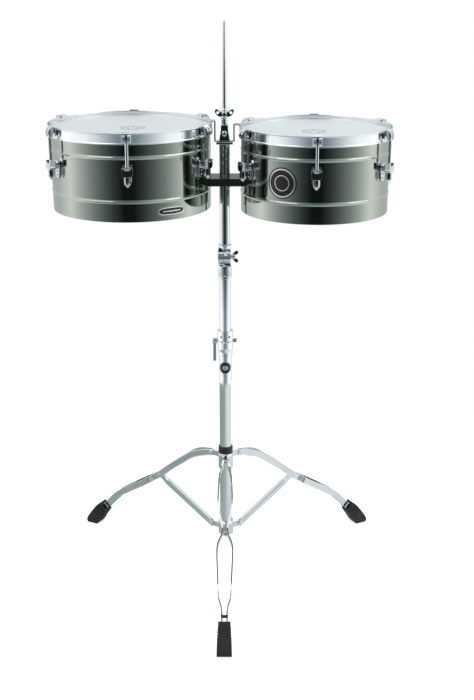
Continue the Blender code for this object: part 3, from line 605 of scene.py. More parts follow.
def top_hardware():
    obj = box("v_top_plate", -20.0 * MM, 20.0 * MM, -17.0 * MM, 17.0 * MM, PLATE_LOW, PLATE_LOW + 5.2 * MM)
    combine(obj, rod("tool", 5.5 * MM, PLATE_LOW - 0.01, PLATE_LOW + 0.02, 32), "DIFFERENCE")
    soften(obj, 1.0 * MM, 3)
    finish(obj, CHROME, "drum_rack", "chrome", "top_plate")

    low = PLATE_LOW + 5.6 * MM
    lx = PARTS["large"]["cx"] + PARTS["large"]["r"]
    rx = PARTS["small"]["cx"] - PARTS["small"]["r"]
    t = 2.0 * MM
    hook = 2.8 * MM
    wall = 3.4 * MM
    lt = PARTS["large"]["top"] + 0.5 * MM
    rt = PARTS["small"]["top"] + 0.5 * MM
    left_in = lx + 1.7 * MM
    right_in = rx - 1.7 * MM
    outline = [
        (left_in - hook, lt - 5.0 * MM), (left_in, lt - 5.0 * MM), (left_in, lt),
        (-24.5 * MM, lt), (-24.5 * MM, low), (24.5 * MM, low), (24.5 * MM, rt),
        (right_in, rt), (right_in, rt - 5.0 * MM),
        (right_in + hook, rt - 5.0 * MM), (right_in + hook, rt + 0.9 * MM),
        (right_in + 0.9 * MM, rt + hook), (26.0 * MM - wall, rt + hook),
        (24.5 * MM - wall, rt + hook - 1.5 * MM), (24.5 * MM - wall, low + t),
        (wall - 24.5 * MM, low + t), (wall - 24.5 * MM, lt + hook - 1.5 * MM),
        (wall - 26.0 * MM, lt + hook), (left_in - 0.9 * MM, lt + hook), (left_in - hook, lt + 0.9 * MM),
    ]
    obj = prism("v_rim_strap", outline, -11.0 * MM, 11.0 * MM, "xz")
    combine(obj, rod("tool", 5.5 * MM, low - 0.005, low + 0.008, 32), "DIFFERENCE")
    soften(obj, 0.7 * MM)
    finish(obj, CHROME, "drum_rack", "chrome", "rim_strap")

    base = low + t + 0.4 * MM
    outline = [
        (-12.5 * MM, base), (12.5 * MM, base), (11.2 * MM, base + 9.0 * MM), (9.0 * MM, base + 21.0 * MM),
        (8.0 * MM, base + 37.0 * MM), (-8.0 * MM, base + 37.0 * MM), (-9.0 * MM, base + 21.0 * MM),
        (-11.2 * MM, base + 9.0 * MM),
    ]
    obj = prism("v_rod_clamp", outline, -10.6 * MM, 10.6 * MM, "xz")
    barrel = [
        (0.0, base + 30.0 * MM), (7.4 * MM, base + 30.0 * MM),
        (7.2 * MM, WING_Z - 13.0 * MM), (8.2 * MM, WING_Z - 11.4 * MM),
        (9.2 * MM, WING_Z - 9.6 * MM), (9.2 * MM, WING_Z + 8.6 * MM), (8.4 * MM, WING_Z + 10.1 * MM),
        (6.6 * MM, WING_Z + 10.5 * MM), (0.0, WING_Z + 10.5 * MM),
    ]
    combine(obj, lathe("tool", barrel, 48, ring=False))
    boss = along_y(dome("tool", 6.4 * MM, 6.0 * MM, 13.0 * MM, 1.9 * MM, 32), 0.0, base + 17.0 * MM)
    combine(obj, boss)
    socket = rod("tool", 2.6 * MM, 12.0 * MM, 20.0 * MM, 6)
    combine(obj, along_y(socket, 0.0, base + 17.0 * MM), "DIFFERENCE")
    combine(obj, along_y(rod("tool", 5.3 * MM, 4.0 * MM, 11.3 * MM, 32), 0.0, WING_Z))
    combine(obj, rod("tool", 5.3 * MM, base - 0.01, WING_Z + 0.03, 32), "DIFFERENCE")
    soften(obj, 0.6 * MM)
    finish(obj, CHROME, "drum_rack", "chrome", "rod_clamp")

    wing = rod("v_rod_wing_bolt", 5.1 * MM, 11.9 * MM, 24.6 * MM, 32, 0.8 * MM)
    for side in (-1.0, 1.0):
        points = smooth_path([
            (3.0, 3.8), (8.5, 4.8), (14.0, 9.0), (18.6, 11.2), (21.8, 9.4), (22.2, 4.8),
            (19.0, -1.0), (14.0, -5.2), (8.5, -6.3), (3.0, -4.0)], 5)
        lobe = prism("tool", [(side * u * MM, v * MM) for u, v in points], 15.4 * MM, 20.6 * MM)
        combine(wing, lobe)
        dish = [(0.0, 14.0 * MM), (3.4 * MM, 14.0 * MM), (3.4 * MM, 22.0 * MM), (0.0, 22.0 * MM)]
        combine(wing, lathe("tool", dish, 24, (side * 15.6 * MM, 3.2 * MM), ring=False), "DIFFERENCE")
    along_y(wing, 0.0, WING_Z)
    soften(wing, 1.2 * MM, 3)
    finish(wing, CHROME, "wing_bolt", "chrome", "rod_wing_bolt")

    bell = lathe("v_cowbell_rod", [
        (0.0, ROD_LOW), (4.0 * MM, ROD_LOW),
        (4.85 * MM, ROD_LOW + 1.0 * MM), (4.85 * MM, ROD_TOP - 1.2 * MM),
        (4.6 * MM, ROD_TOP - 0.5 * MM), (4.0 * MM, ROD_TOP - 0.05 * MM), (0.0, ROD_TOP)], 48, ring=False)
    finish(soften(bell, 0.0), CHROME, "bell_rod", "chrome", "cowbell_rod")


# ---------------------------------------------------------------- tilter and column

def disc_teeth(name, x0, x1, outer, inner, count=48):
    """A ring of radial teeth about the X axis through the tilt pin."""
    verts = []
    faces = []
    for k in range(2 * count):
        a = math.pi * k / count
        x = x1 if k % 2 == 0 else 0.5 * (x0 + x1)
        for xx, r in ((x0, inner), (x0, outer), (x, outer), (x, inner)):
            verts.append((xx, r * math.cos(a), TILT_Z + r * math.sin(a)))
    total = 2 * count
    for k in range(total):
        n = (k + 1) % total
        for j in range(4):
            i = (j + 1) % 4
            faces.append((4 * k + j, 4 * k + i, 4 * n + i, 4 * n + j))
    return make(name, verts, faces)


def tilter():
    r = 18.9 * MM
    upper = along_x(rod("v_tilter_upper", r, -16.9 * MM, -4.3 * MM, TUBE_SEG), 0.0, TILT_Z)
    combine(upper, box("tool", -16.0 * MM, -4.8 * MM, -12.0 * MM, 12.0 * MM, TILT_Z, TILT_Z + 24.0 * MM))
    collar = [
        (0.0, TILT_Z + 19.9 * MM), (14.2 * MM, TILT_Z + 19.9 * MM),
        (15.3 * MM, TILT_Z + 21.0 * MM), (14.6 * MM, TILT_Z + 22.4 * MM),
        (14.6 * MM, TILT_Z + 23.4 * MM), (15.3 * MM, TILT_Z + 24.6 * MM), (15.3 * MM, TILT_Z + 31.0 * MM),
        (14.5 * MM, TILT_Z + 31.9 * MM), (0.0, TILT_Z + 31.9 * MM),
    ]
    combine(upper, lathe("tool", collar, TUBE_SEG, ring=False))
    combine(upper, rod("tool", 13.0 * MM, TILT_Z + 23.0 * MM, TILT_Z + 40.0 * MM, TUBE_SEG), "DIFFERENCE")
    combine(upper, along_x(rod("tool", 4.4 * MM, -30.0 * MM, 30.0 * MM, 24), 0.0, TILT_Z), "DIFFERENCE")
    soften(upper, 0.8 * MM, 3)
    finish(upper, CHROME, "tilt_head", "chrome", "tilter_upper")
    teeth = disc_teeth("v_tilter_upper_teeth", -4.5 * MM, -3.35 * MM, 18.4 * MM, 9.0 * MM)
    finish(soften(teeth, 0.0), CHROME, "tilt_head", "chrome")

    lower = along_x(rod("v_tilter_lower", r, -1.7 * MM, 14.4 * MM, TUBE_SEG), 0.0, TILT_Z)
    combine(lower, box("tool", -1.2 * MM, 13.4 * MM, -12.0 * MM, 12.0 * MM, TILT_Z - 26.0 * MM, TILT_Z))
    body = [
        (0.0, TILT_Z - 55.4 * MM), (16.0 * MM, TILT_Z - 55.4 * MM), (16.9 * MM, TILT_Z - 54.4 * MM),
        (16.9 * MM, TILT_Z - 47.0 * MM), (16.1 * MM, TILT_Z - 46.0 * MM), (16.1 * MM, TILT_Z - 44.8 * MM),
        (16.9 * MM, TILT_Z - 43.8 * MM), (16.9 * MM, TILT_Z - 22.0 * MM), (15.4 * MM, TILT_Z - 19.9 * MM),
        (0.0, TILT_Z - 19.9 * MM),
    ]
    combine(lower, lathe("tool", body, TUBE_SEG, ring=False))
    combine(lower, rod("tool", 14.6 * MM, TILT_Z - 70.0 * MM, TILT_Z - 26.0 * MM, TUBE_SEG), "DIFFERENCE")
    combine(lower, along_x(rod("tool", 4.4 * MM, -30.0 * MM, 30.0 * MM, 24), 0.0, TILT_Z), "DIFFERENCE")
    soften(lower, 0.8 * MM, 3)
    finish(lower, CHROME, "mast", "chrome", "tilter_lower")
    teeth = disc_teeth("v_tilter_lower_teeth", -1.5 * MM, -2.85 * MM, 18.4 * MM, 9.0 * MM)
    finish(soften(teeth, 0.0), CHROME, "mast", "chrome")

    screw = rod("v_tilter_wing_screw", 3.9 * MM, -16.0 * MM, 20.0 * MM, 24)
    combine(screw, rod("tool", 6.5 * MM, 15.1 * MM, 26.0 * MM, 32, 0.9 * MM))
    for side in (-1.0, 1.0):
        points = smooth_path([
            (17.2, 2.0), (17.2, 5.0), (21.0, 9.0), (25.0, 13.3), (29.8, 15.2),
            (32.7, 13.0), (32.6, 8.5), (29.0, 5.5), (24.5, 2.0)], 5)
        combine(screw, prism("tool", [(side * v * MM, u * MM) for u, v in points], -2.0 * MM, 2.0 * MM, "xz"))
    along_x(screw, 0.0, TILT_Z)
    soften(screw, 0.9 * MM, 3)
    finish(screw, CHROME, "tilter_screw", "chrome", "tilter_wing_screw")


def column():
    for node, body, outer, inner in (
            ("upper_tube", "drum_rack", 12.7, 11.0), ("middle_tube", "mast", 14.3, 12.7),
            ("lower_tube", "base", 15.87, 14.75)):
        low, high = span(node)
        pipe = tube("v_" + node, outer * MM, inner * MM, low, high)
        finish(soften(pipe, 0.3 * MM), CHROME, body, "chrome", node)

    low, high = span("memory_lock")
    lock = [
        (14.65 * MM, low), (19.2 * MM, low), (20.0 * MM, low + 0.8 * MM), (20.0 * MM, high - 0.8 * MM),
        (19.2 * MM, high), (14.65 * MM, high),
    ]
    ring = lathe("v_memory_lock", lock, TUBE_SEG)
    combine(ring, box("tool", -4.2 * MM, 4.2 * MM, -26.0 * MM, -17.0 * MM, low - 0.01, high + 0.01), "DIFFERENCE")
    soften(ring, 0.5 * MM)
    finish(ring, CHROME, "mast", "chrome", "memory_lock")
    for k, x in enumerate((-9.4, 9.4)):
        screw = dome("v_memory_lock_screw_%d" % (k + 1), 3.0 * MM, 15.6 * MM, 17.6 * MM, 0.8 * MM, 24)
        slot = box("tool", -0.5 * MM, 0.5 * MM, -3.5 * MM, 3.5 * MM, 17.6 * MM, 20.0 * MM)
        combine(screw, slot, "DIFFERENCE")
        finish(soften(along_y(screw, x * MM, low + 13.0 * MM), 0.0), BLACK, "mast", "chrome")

    ledge = CLAMP_LOW + 10.4 * MM
    profile = [
        (16.2 * MM, CLAMP_LOW), (17.4 * MM, CLAMP_LOW),
        (18.2 * MM, CLAMP_LOW + 1.0 * MM), (18.2 * MM, CLAMP_LOW + 15.0 * MM),
        (19.4 * MM, CLAMP_LOW + 17.5 * MM), (19.4 * MM, CLAMP_HIGH - 1.2 * MM), (18.4 * MM, CLAMP_HIGH),
        (14.75 * MM, CLAMP_HIGH), (14.75 * MM, ledge), (16.2 * MM, ledge),
    ]
    clamp = lathe("v_height_clamp", profile, TUBE_SEG)
    low = CLAMP_BOLT_Z - 8.0 * MM
    high = CLAMP_BOLT_Z + 8.0 * MM
    ears = [(-15.0 * MM, 15.0 * MM), (15.0 * MM, 15.0 * MM), (15.0 * MM, 28.0 * MM), (11.0 * MM, 33.0 * MM),
            (-11.0 * MM, 33.0 * MM), (-15.0 * MM, 28.0 * MM)]
    ears = prism("tool", ears, low, high)
    combine(ears, rod("tool2", 17.2 * MM, 0.55, 0.70, TUBE_SEG), "DIFFERENCE")
    combine(clamp, ears)
    split = box("tool", -1.5 * MM, 1.5 * MM, 10.0 * MM, 40.0 * MM, low - 0.002, high + 0.002)
    combine(clamp, split, "DIFFERENCE")
    hole = rod("tool", 3.5 * MM, -30.0 * MM, 30.0 * MM, 24)
    combine(clamp, along_x(hole, CLAMP_BOLT_Y, CLAMP_BOLT_Z), "DIFFERENCE")
    soften(clamp, 0.7 * MM, 3)
    finish(clamp, CHROME, "base", "chrome", "height_clamp")

    bolt = rod("v_clamp_bolt", 3.1 * MM, -17.0 * MM, 19.0 * MM, 24)
    combine(bolt, rod("tool", 6.4 * MM, 15.3 * MM, 17.0 * MM, 32, 0.5 * MM))
    combine(bolt, rod("tool", 5.5 * MM, 16.5 * MM, 28.8 * MM, 6))
    along_x(bolt, CLAMP_BOLT_Y, CLAMP_BOLT_Z)
    finish(soften(bolt, 0.5 * MM), CHROME, "base", "chrome", "clamp_bolt")

    lever = rod("v_clamp_lever", 8.1 * MM, -33.0 * MM, -17.5 * MM, 40, 1.4 * MM)
    along_x(lever, CLAMP_BOLT_Y, CLAMP_BOLT_Z)
    y = CLAMP_BOLT_Y
    spine = smooth_path([
        (y - 6.0 * MM, 0.6240), (y - 8.5 * MM, 0.6100), (y - 12.0 * MM, 0.5930), (y - 16.8 * MM, 0.5765),
        (y - 14.8 * MM, 0.5704), (y - 8.6 * MM, 0.5715), (y - 2.0 * MM, 0.5910), (y + 3.0 * MM, 0.6090),
        (y + 6.0 * MM, 0.6200)], 5)
    combine(lever, prism("tool", spine, -31.0 * MM, -23.5 * MM, "yz"))
    hole = rod("tool", 3.5 * MM, -18.6 * MM, -10.0 * MM, 24)
    combine(lever, along_x(hole, CLAMP_BOLT_Y, CLAMP_BOLT_Z), "DIFFERENCE")
    soften(lever, 1.2 * MM, 3)
    finish(lever, CHROME, "lever", "chrome", "clamp_lever")

    # Round plate on the front of the lower tube, under the clamp.
    for name, mat, radius, near, far in (
            ("v_column_badge", SILVER, 16.8, 16.3, 17.2),
            ("v_column_badge_field", ENAMEL, 14.6, 16.9, 17.5),
            ("v_column_badge_dot", SILVER, 6.4, 17.2, 17.75)):
        plate = wrap_disc(name, radius * MM, near * MM, far * MM, COLUMN_BADGE_Z)
        finish(plate, mat, "base", "badge_metal" if mat is SILVER else "badge_dark")


# ---------------------------------------------------------------- tripod

def hub(body, node, pivot_z, outer):
    low, high = span(node)
    profile = [
        (16.2 * MM, low), (outer - 1.2 * MM, low), (outer, low + 1.2 * MM), (outer, high - 5.0 * MM),
        (outer - 0.8 * MM, high - 4.2 * MM), (outer - 0.8 * MM, high - 3.2 * MM), (outer, high - 2.4 * MM),
        (outer, high - 1.0 * MM), (outer - 1.0 * MM, high), (16.2 * MM, high),
    ]
    obj = lathe("v_" + node, profile, TUBE_SEG)
    for azimuth in LEG_AZ.values():
        points = [(17.5 * MM, pivot_z - 6.9 * MM)] + arc(PIVOT_RHO, pivot_z, 6.9 * MM, -90.0, 90.0, 16)
        points += [(17.5 * MM, pivot_z + 6.9 * MM)]
        ear = prism("tool", points, -3.4 * MM, 3.4 * MM, "xz")
        combine(obj, place(ear, spin(azimuth)))
    soften(obj, 0.7 * MM, 3)
    finish(obj, CHROME, body, "chrome", node)


# Stations down a leg: distance from the column's axis, height, half gap in mm, width scale.
LEG = (
    (PIVOT_RHO - 6.6 * MM, COLLAR_Z + 0.6 * MM, 5.2, 0.60), (PIVOT_RHO, COLLAR_Z, 5.2, 0.95),
    (PIVOT_RHO + 12.0 * MM, COLLAR_Z - 1.6 * MM, 5.4, 1.0), (0.0800, COLLAR_Z - 8.0 * MM, 11.0, 1.0),
    (0.1020, 0.2910, 14.6, 1.0), (0.1280, 0.2715, 16.6, 1.0), (0.1640, 0.2440, 16.6, 1.0),
    (0.1960, 0.2165, 8.2, 1.0), (PIN_RHO, PIN_Z, 5.4, 1.0), (0.2250, 0.1945, 7.4, 1.0),
    (0.2420, 0.1830, 15.4, 1.0), (0.2620, 0.1700, 18.6, 1.0), (0.3100, 0.1395, 16.6, 1.0),
    (0.3420, 0.1180, 15.0, 1.0), (0.3600, 0.1010, 13.4, 1.0), (0.3730, 0.0870, 8.0, 1.0),
    (0.3830, 0.0765, 5.6, 1.0), (0.3975, 0.0611, 5.6, 0.95), (0.4080, 0.0499, 5.6, 0.9),
)
# Section of one strip in mm, with a folded lip along both edges.
STRIP = ((-9.0, -0.7), (-8.4, -1.1), (8.4, -1.1), (9.0, -0.7), (9.0, 2.3),
         (8.5, 2.7), (7.4, 2.7), (6.9, 2.3), (6.7, 1.1), (0.0, 1.0),
         (-6.7, 1.1), (-6.9, 2.3), (-7.4, 2.7), (-8.5, 2.7), (-9.0, 2.3))


def rivets(name, body, azimuth, radius, low, high, rho, z):
    """A rivet head on each side of a pivot."""
    for end in ("r", "l"):
        head = dome("v_rivet_%s_%s" % (name, end), radius, low, high, 0.9 * MM, 24)
        if end == "l":
            place(head, Matrix.Rotation(math.pi, 4, "X"))
        along_y(head, rho, z)
        finish(soften(place(head, spin(azimuth)), 0.0), CHROME, body, "chrome")


def leg(key, azimuth):
    stations = smooth_path([(a, b, c * MM, s) for a, b, c, s in LEG], 6)
    count = len(stations)
    ring = len(STRIP)
    for index, side in enumerate((-1.0, 1.0)):
        verts = []
        for k, (rho, z, gap, scale) in enumerate(stations):
            a = stations[max(0, k - 1)]
            b = stations[min(count - 1, k + 1)]
            along = Vector((b[0] - a[0], b[1] - a[1])).normalized()
            across = Vector((-along[1], along[0]))
            for h, t in STRIP:
                v = across * (h * MM * scale)
                verts.append((rho + v[0], side * (gap + t * MM), z + v[1]))
        faces = [tuple(range(ring)), tuple(ring * (count - 1) + j for j in range(ring))]
        for k in range(count - 1):
            for j in range(ring):
                n = (j + 1) % ring
                faces.append((ring * k + j, ring * k + n, ring * (k + 1) + n, ring * (k + 1) + j))
        obj = make("v_leg_%s_%s" % (key, "ab"[index]), verts, faces)
        soften(place(obj, spin(azimuth)), 0.0)
        nodes = ("leg_" + key,) if index == 0 else ()
        finish(obj, CHROME, key + "_leg", "chrome", *nodes)
    rivets("top_" + key, key + "_leg", azimuth, 4.4 * MM, 6.0 * MM, 6.7 * MM, PIVOT_RHO, COLLAR_Z)
    rivets("pin_" + key, key + "_leg", azimuth, 4.0 * MM, 6.2 * MM, 6.9 * MM, PIN_RHO, PIN_Z)
    pin = along_y(rod("v_leg_pin_" + key, 3.4 * MM, -6.4 * MM, 6.4 * MM, 24), PIN_RHO, PIN_Z)
    finish(soften(place(pin, spin(azimuth)), 0.0), CHROME, key + "_leg", "chrome")


def brace(key, azimuth):
    length = LINK / MM
    sections = [
        (-6.0, 7.0, 3.9), (8.0, 7.0, 3.9), (20.0, 7.0, 3.9), (length * 0.5, 7.0, 4.6),
        (length - 36.0, 7.0, 4.2), (length - 26.0, 5.4, 2.9), (length - 17.0, 3.7, 1.7),
        (length - 8.0, 3.6, 1.7), (length + 6.0, 3.6, 1.7),
    ]
    sections = smooth_path(sections, 4)
    verts = []
    for s, half, inner in sections:
        ring = [
            (-half, -5.4), (-half, 7.0), (-half + 1.0, 8.3), (-half + 1.9, 8.8),
            (half - 1.9, 8.8), (half - 1.0, 8.3), (half, 7.0), (half, -5.4),
            (inner, -5.4), (inner, 7.3), (-inner, 7.3), (-inner, -5.4),
        ]
        for t, n in ring:
            verts.append((s * MM, t * MM, n * MM))
    size = 12
    ends = [(0, 1, 10, 11), (1, 2, 3, 10), (3, 4, 9, 10), (4, 5, 6, 9), (6, 7, 8, 9)]
    last = size * (len(sections) - 1)
    faces = list(ends) + [tuple(last + j for j in face) for face in ends]
    for k in range(len(sections) - 1):
        for j in range(size):
            n = (j + 1) % size
            faces.append((size * k + j, size * k + n, size * (k + 1) + n, size * (k + 1) + j))
    obj = make("v_brace_" + key, verts, faces)
    combine(obj, box("tool", -0.02, 9.6 * MM, -0.01, 0.01, 6.6 * MM, 0.02), "DIFFERENCE")
    combine(obj, along_y(rod("tool", 4.2 * MM, -0.02, 0.02, 24), LINK, 0.0), "DIFFERENCE")
    soften(obj, 0.35 * MM)
    place(obj, Matrix.Translation((PIVOT_RHO, 0.0, HUB_Z)) @ Matrix.Rotation(-REST_ANGLE, 4, "Y"))
    place(obj, spin(azimuth))
    finish(obj, CHROME, key + "_brace", "chrome", "brace_" + key)
    rivets("hub_" + key, key + "_brace", azimuth, 4.1 * MM, 6.6 * MM, 7.5 * MM, PIVOT_RHO, HUB_Z)


# Side outline of a rubber shoe: distance from the column's axis, height.
FOOT = (
    (0.4131, 0.0700), (0.4248, 0.0590), (0.4425, 0.0362), (0.4545, 0.0190),
    (0.4585, 0.0100), (0.4578, 0.0030), (0.4548, 0.0002), (0.4490, 0.0), (0.4300, 0.0), (0.4240, 0.0004),
    (0.4185, 0.0060), (0.4083, 0.0230), (0.3963, 0.0402), (0.3929, 0.0448), (0.3912, 0.0490),
)


def foot(key, azimuth):
    obj = prism("v_foot_" + key, FOOT, -18.1 * MM, 18.1 * MM, "xz")
    for s in (-1.0, 1.0):
        cheek = [(0.3700, s * 13.4 * MM), (0.4180, s * 15.0 * MM), (0.4270, s * 16.6 * MM),
                 (0.4600, s * 18.2 * MM), (0.4700, s * 26.0 * MM), (0.3700, s * 26.0 * MM)]
        combine(obj, prism("tool", cheek, -0.05, 0.15), "DIFFERENCE")
    pocket = [(0.3776, 0.0966), (0.3633, 0.0831), (0.4044, 0.0395), (0.4187, 0.0529)]
    combine(obj, prism("tool", pocket, -9.4 * MM, 9.4 * MM, "xz"), "DIFFERENCE")
    # Moulded grooves round the shoe.
    down = Vector((0.615, -0.788))
    out = Vector((0.788, 0.615))
    for step in (7.0, 13.5, 20.0, 26.5, 33.0):
        c = Vector((0.4020, 0.0590)) + down * (step * MM)
        half_w = (12.6 + 0.06 * step) * MM
        half_h = (14.6 + 0.05 * step) * MM
        outer = []
        for a, b in ((-0.9, -30.0), (0.9, -30.0), (0.9, 30.0), (-0.9, 30.0)):
            p = c + down * (a * MM) + out * (b * MM)
            outer.append((p[0], p[1]))
        cutter = prism("tool", outer, -30.0 * MM, 30.0 * MM, "xz")
        core = []
        for a, b in ((-3.0, -half_h), (3.0, -half_h), (3.0, half_h), (-3.0, half_h)):
            p = c + down * (a * MM) + out * b
            core.append((p[0], p[1]))
        combine(cutter, prism("tool2", core, -half_w, half_w, "xz"), "DIFFERENCE")
        combine(obj, cutter, "DIFFERENCE")
    soften(obj, 0.7 * MM, 2, 30.0)
    place(obj, spin(azimuth))
    finish(obj, RUBBER, key + "_leg", "rubber", "foot_" + key)
    # Rubber ring on the ankle, a little above the shoe.
    c = Vector((0.3905, 0.0685))
    along = Vector((0.685, -0.728))
    across = Vector((0.728, 0.685))
    band = []
    for a, b in ((-2.4, -9.6), (2.4, -9.6), (2.4, 9.6), (-2.4, 9.6)):
        p = c + along * (a * MM) + across * (b * MM)
        band.append((p[0], p[1]))
    ring = soften(prism("v_ankle_ring_" + key, band, -9.2 * MM, 9.2 * MM, "xz"), 0.9 * MM)
    finish(place(ring, spin(azimuth)), RUBBER, key + "_leg", "rubber")


def tripod():
    hub("collar", "leg_collar", COLLAR_Z, 19.5 * MM)
    low, high = span("collar_bush")
    bush = [
        (16.2 * MM, low), (18.4 * MM, low), (19.1 * MM, low + 0.8 * MM), (19.1 * MM, high - 2.0 * MM),
        (18.6 * MM, high - 0.8 * MM), (17.6 * MM, high), (16.2 * MM, high),
    ]
    obj = soften(lathe("v_collar_bush", bush, TUBE_SEG), 0.0)
    finish(obj, BLACK, "collar", "black_plastic", "collar_bush")
    hub("base", "lower_hub", HUB_Z, 20.4 * MM)
    for key, azimuth in LEG_AZ.items():
        leg(key, azimuth)
        brace(key, azimuth)
        foot(key, azimuth)


# ---------------------------------------------------------------- studio

def maths(nodes, links, operation, source, value=None):
    node = nodes.new("ShaderNodeMath")
    node.operation = operation
    links.new(source, node.inputs[0])
    if isinstance(value, float):
        node.inputs[1].default_value = value
    elif value is not None:
        links.new(value, node.inputs[1])
    return node.outputs[0]


def spread(nodes, links, source, low, high):
    """0 up to low, 1 from high, and a straight line between them."""
    node = nodes.new("ShaderNodeMapRange")
    node.inputs["From Min"].default_value = low
    node.inputs["From Max"].default_value = high
    links.new(source, node.inputs["Value"])
    return node.outputs["Result"]


def blend(nodes, links, factor, first, second):
    """From one colour to another, which is a socket or a fixed colour."""
    node = nodes.new("ShaderNodeMix")
    node.data_type = "RGBA"
    links.new(factor, node.inputs["Factor"])
    links.new(first, node.inputs["A"])
    if isinstance(second, tuple):
        node.inputs["B"].default_value = second
    else:
        links.new(second, node.inputs["B"])
    return node.outputs["Result"]


def by_ray(nodes, links, camera, others, surface):
    """One shader for what the camera sees directly, another for every other ray."""
    path = nodes.new("ShaderNodeLightPath")
    choose = nodes.new("ShaderNodeMixShader")
    links.new(path.outputs["Is Camera Ray"], choose.inputs["Fac"])
    links.new(others, choose.inputs[1])
    links.new(camera, choose.inputs[2])
    links.new(choose.outputs[0], surface)


def surroundings():
    """The camera sees plain white. Reflections see a dark side in front, paler round to the
    sides, with a darker belt below the horizon and a dark cap overhead."""
    world = bpy.data.worlds.new("studio")
    bpy.context.scene.world = world
    world.use_nodes = True
    nodes = world.node_tree.nodes
    links = world.node_tree.links
    nodes.clear()
    coord = nodes.new("ShaderNodeTexCoord")
    split = nodes.new("ShaderNodeSeparateXYZ")
    links.new(coord.outputs["Generated"], split.inputs[0])
    ahead = maths(nodes, links, "MULTIPLY", split.outputs["Y"], -1.0)
    angle = maths(nodes, links, "ARCTAN2", split.outputs["X"], ahead)
    share = maths(nodes, links, "DIVIDE", maths(nodes, links, "ABSOLUTE", angle), math.pi)
    dark = ramp(nodes, links, share, [
        (0.0, (0.008, 0.011, 0.011)), (0.04, (0.008, 0.011, 0.011)), (0.12, (0.044, 0.054, 0.056)),
        (0.20, (0.125, 0.145, 0.15)), (0.30, (0.29, 0.32, 0.32)), (0.40, (0.56, 0.59, 0.59)),
        (0.52, (1.0, 1.0, 1.0)), (0.60, (0.84, 0.85, 0.85)), (0.68, (0.64, 0.66, 0.66)),
        (0.84, (0.46, 0.49, 0.49)), (1.0, (0.42, 0.45, 0.45))])
    light = ramp(nodes, links, share, [
        (0.0, (0.13, 0.17, 0.19)), (0.08, (0.20, 0.24, 0.26)), (0.14, (0.34, 0.38, 0.40)),
        (0.24, (0.62, 0.65, 0.66)), (0.34, (0.88, 0.90, 0.91)), (0.54, (1.0, 1.0, 1.0)),
        (0.75, (0.62, 0.66, 0.66)), (1.0, (0.50, 0.54, 0.54))])
    up = split.outputs["Z"]
    belt = maths(nodes, links, "ABSOLUTE", maths(nodes, links, "ADD", up, 0.18))
    colour = blend(nodes, links, spread(nodes, links, belt, 0.075, 0.125), dark, light)
    overhead = spread(nodes, links, up, 0.80, 0.95)
    colour = blend(nodes, links, overhead, colour, (0.90, 0.93, 0.95, 1.0))
    zenith = spread(nodes, links, up, 0.965, 0.98)
    colour = blend(nodes, links, zenith, colour, (0.10, 0.12, 0.125, 1.0))
    soft = nodes.new("ShaderNodeBackground")
    soft.inputs["Strength"].default_value = 1.25
    links.new(colour, soft.inputs["Color"])
    plain = nodes.new("ShaderNodeBackground")
    plain.inputs["Color"].default_value = (1.0, 1.0, 1.0, 1.0)
    plain.inputs["Strength"].default_value = 1.0
    out = nodes.new("ShaderNodeOutputWorld")
    by_ray(nodes, links, plain.outputs[0], soft.outputs[0], out.inputs["Surface"])


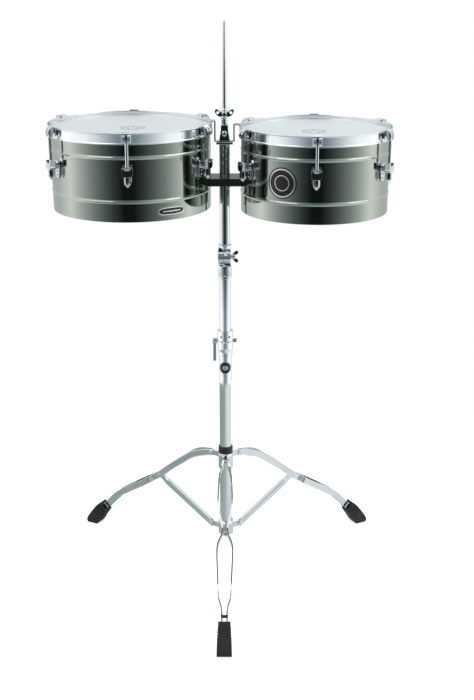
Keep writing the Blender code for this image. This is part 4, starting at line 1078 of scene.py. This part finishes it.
def studio_floor():
    floor = lathe("studio_floor", [(0.0, 0.0), (0.5, 0.0), (0.9, 0.0), (1.35, 0.0)], 96, ring=False)
    floor.data.transform(Matrix.Translation((COLUMN.x, COLUMN.y, -0.0005)))
    mat, nodes, links, shader = new_material("studio_floor")
    shader.inputs["Roughness"].default_value = 0.85
    shader.inputs["Specular IOR Level"].default_value = 0.1
    speck = noise(nodes, links, 30.0, 3.0)
    white = ramp(nodes, links, speck, [(0.2, (0.93, 0.93, 0.93)), (0.8, (0.95, 0.95, 0.95))])
    links.new(white, shader.inputs["Base Color"])
    shader.inputs["Emission Color"].default_value = (1.0, 1.0, 1.0, 1.0)
    shader.inputs["Emission Strength"].default_value = 0.62
    # What the chrome sees of the floor: grey on the left, paler on the right.
    spot = nodes.new("ShaderNodeTexCoord")
    axis = nodes.new("ShaderNodeSeparateXYZ")
    links.new(spot.outputs["Object"], axis.inputs[0])
    across = spread(nodes, links, axis.outputs["X"], -0.6, 0.6)
    seen = ramp(nodes, links, across, [
        (0.0, (0.30, 0.36, 0.35)), (0.42, (0.42, 0.48, 0.47)),
        (0.58, (0.60, 0.64, 0.64)), (1.0, (0.80, 0.82, 0.82))])
    grey = nodes.new("ShaderNodeEmission")
    links.new(seen, grey.inputs["Color"])
    by_ray(nodes, links, shader.outputs[0], grey.outputs[0], nodes["Material Output"].inputs["Surface"])
    floor.data.materials.append(mat)


def lamps():
    for name, spot, size, power in (
            ("key", (-1.6, -1.4, 3.2), 1.8, 12.0), ("fill", (2.2, -0.6, 2.6), 1.6, 8.0),
            ("rim", (0.4, 2.4, 2.8), 1.6, 6.0)):
        lamp = bpy.data.lights.new("light_" + name, "AREA")
        lamp.energy = power
        lamp.size = size
        holder = bpy.data.objects.new("light_" + name, lamp)
        bpy.context.scene.collection.objects.link(holder)
        holder.location = spot
        aim = Vector((COLUMN.x, COLUMN.y, 0.8)) - Vector(spot)
        holder.rotation_euler = aim.to_track_quat("-Z", "Y").to_euler()


CAMERA_FOCAL = 1117.2 / 700.0    # in picture heights
CAMERA_SENSOR = 24.0
CAMERA_PLACE = (0.0299, -2.6879, 1.5509)    # from the foot of the column
CAMERA_PITCH = 19.412            # degrees below level


def front_camera():
    camera = bpy.data.cameras.new("camera")
    camera.sensor_fit = "VERTICAL"
    camera.sensor_height = CAMERA_SENSOR
    camera.sensor_width = CAMERA_SENSOR
    camera.lens = CAMERA_SENSOR * CAMERA_FOCAL
    camera.clip_start = 0.05
    camera.clip_end = 50.0
    holder = bpy.data.objects.new("camera", camera)
    bpy.context.scene.collection.objects.link(holder)
    x, y, z = CAMERA_PLACE
    holder.location = (COLUMN.x + x, COLUMN.y + y, z)
    holder.rotation_euler = (math.radians(90.0 - CAMERA_PITCH), 0.0, 0.0)
    bpy.context.scene.camera = holder
    bpy.context.scene.view_settings.view_transform = "Standard"


def main():
    for label, d in PARTS.items():
        drum_shell(label, d)
        drum_hoop(label, d)
        drum_head(label, d)
        for index in range(1, 7):
            lug(label, d, index)
            claw(label, d, index)
    badges()
    crossbar()
    top_hardware()
    tilter()
    column()
    tripod()
    surroundings()
    studio_floor()
    lamps()
    front_camera()


main()

bpy.context.view_layer.update()
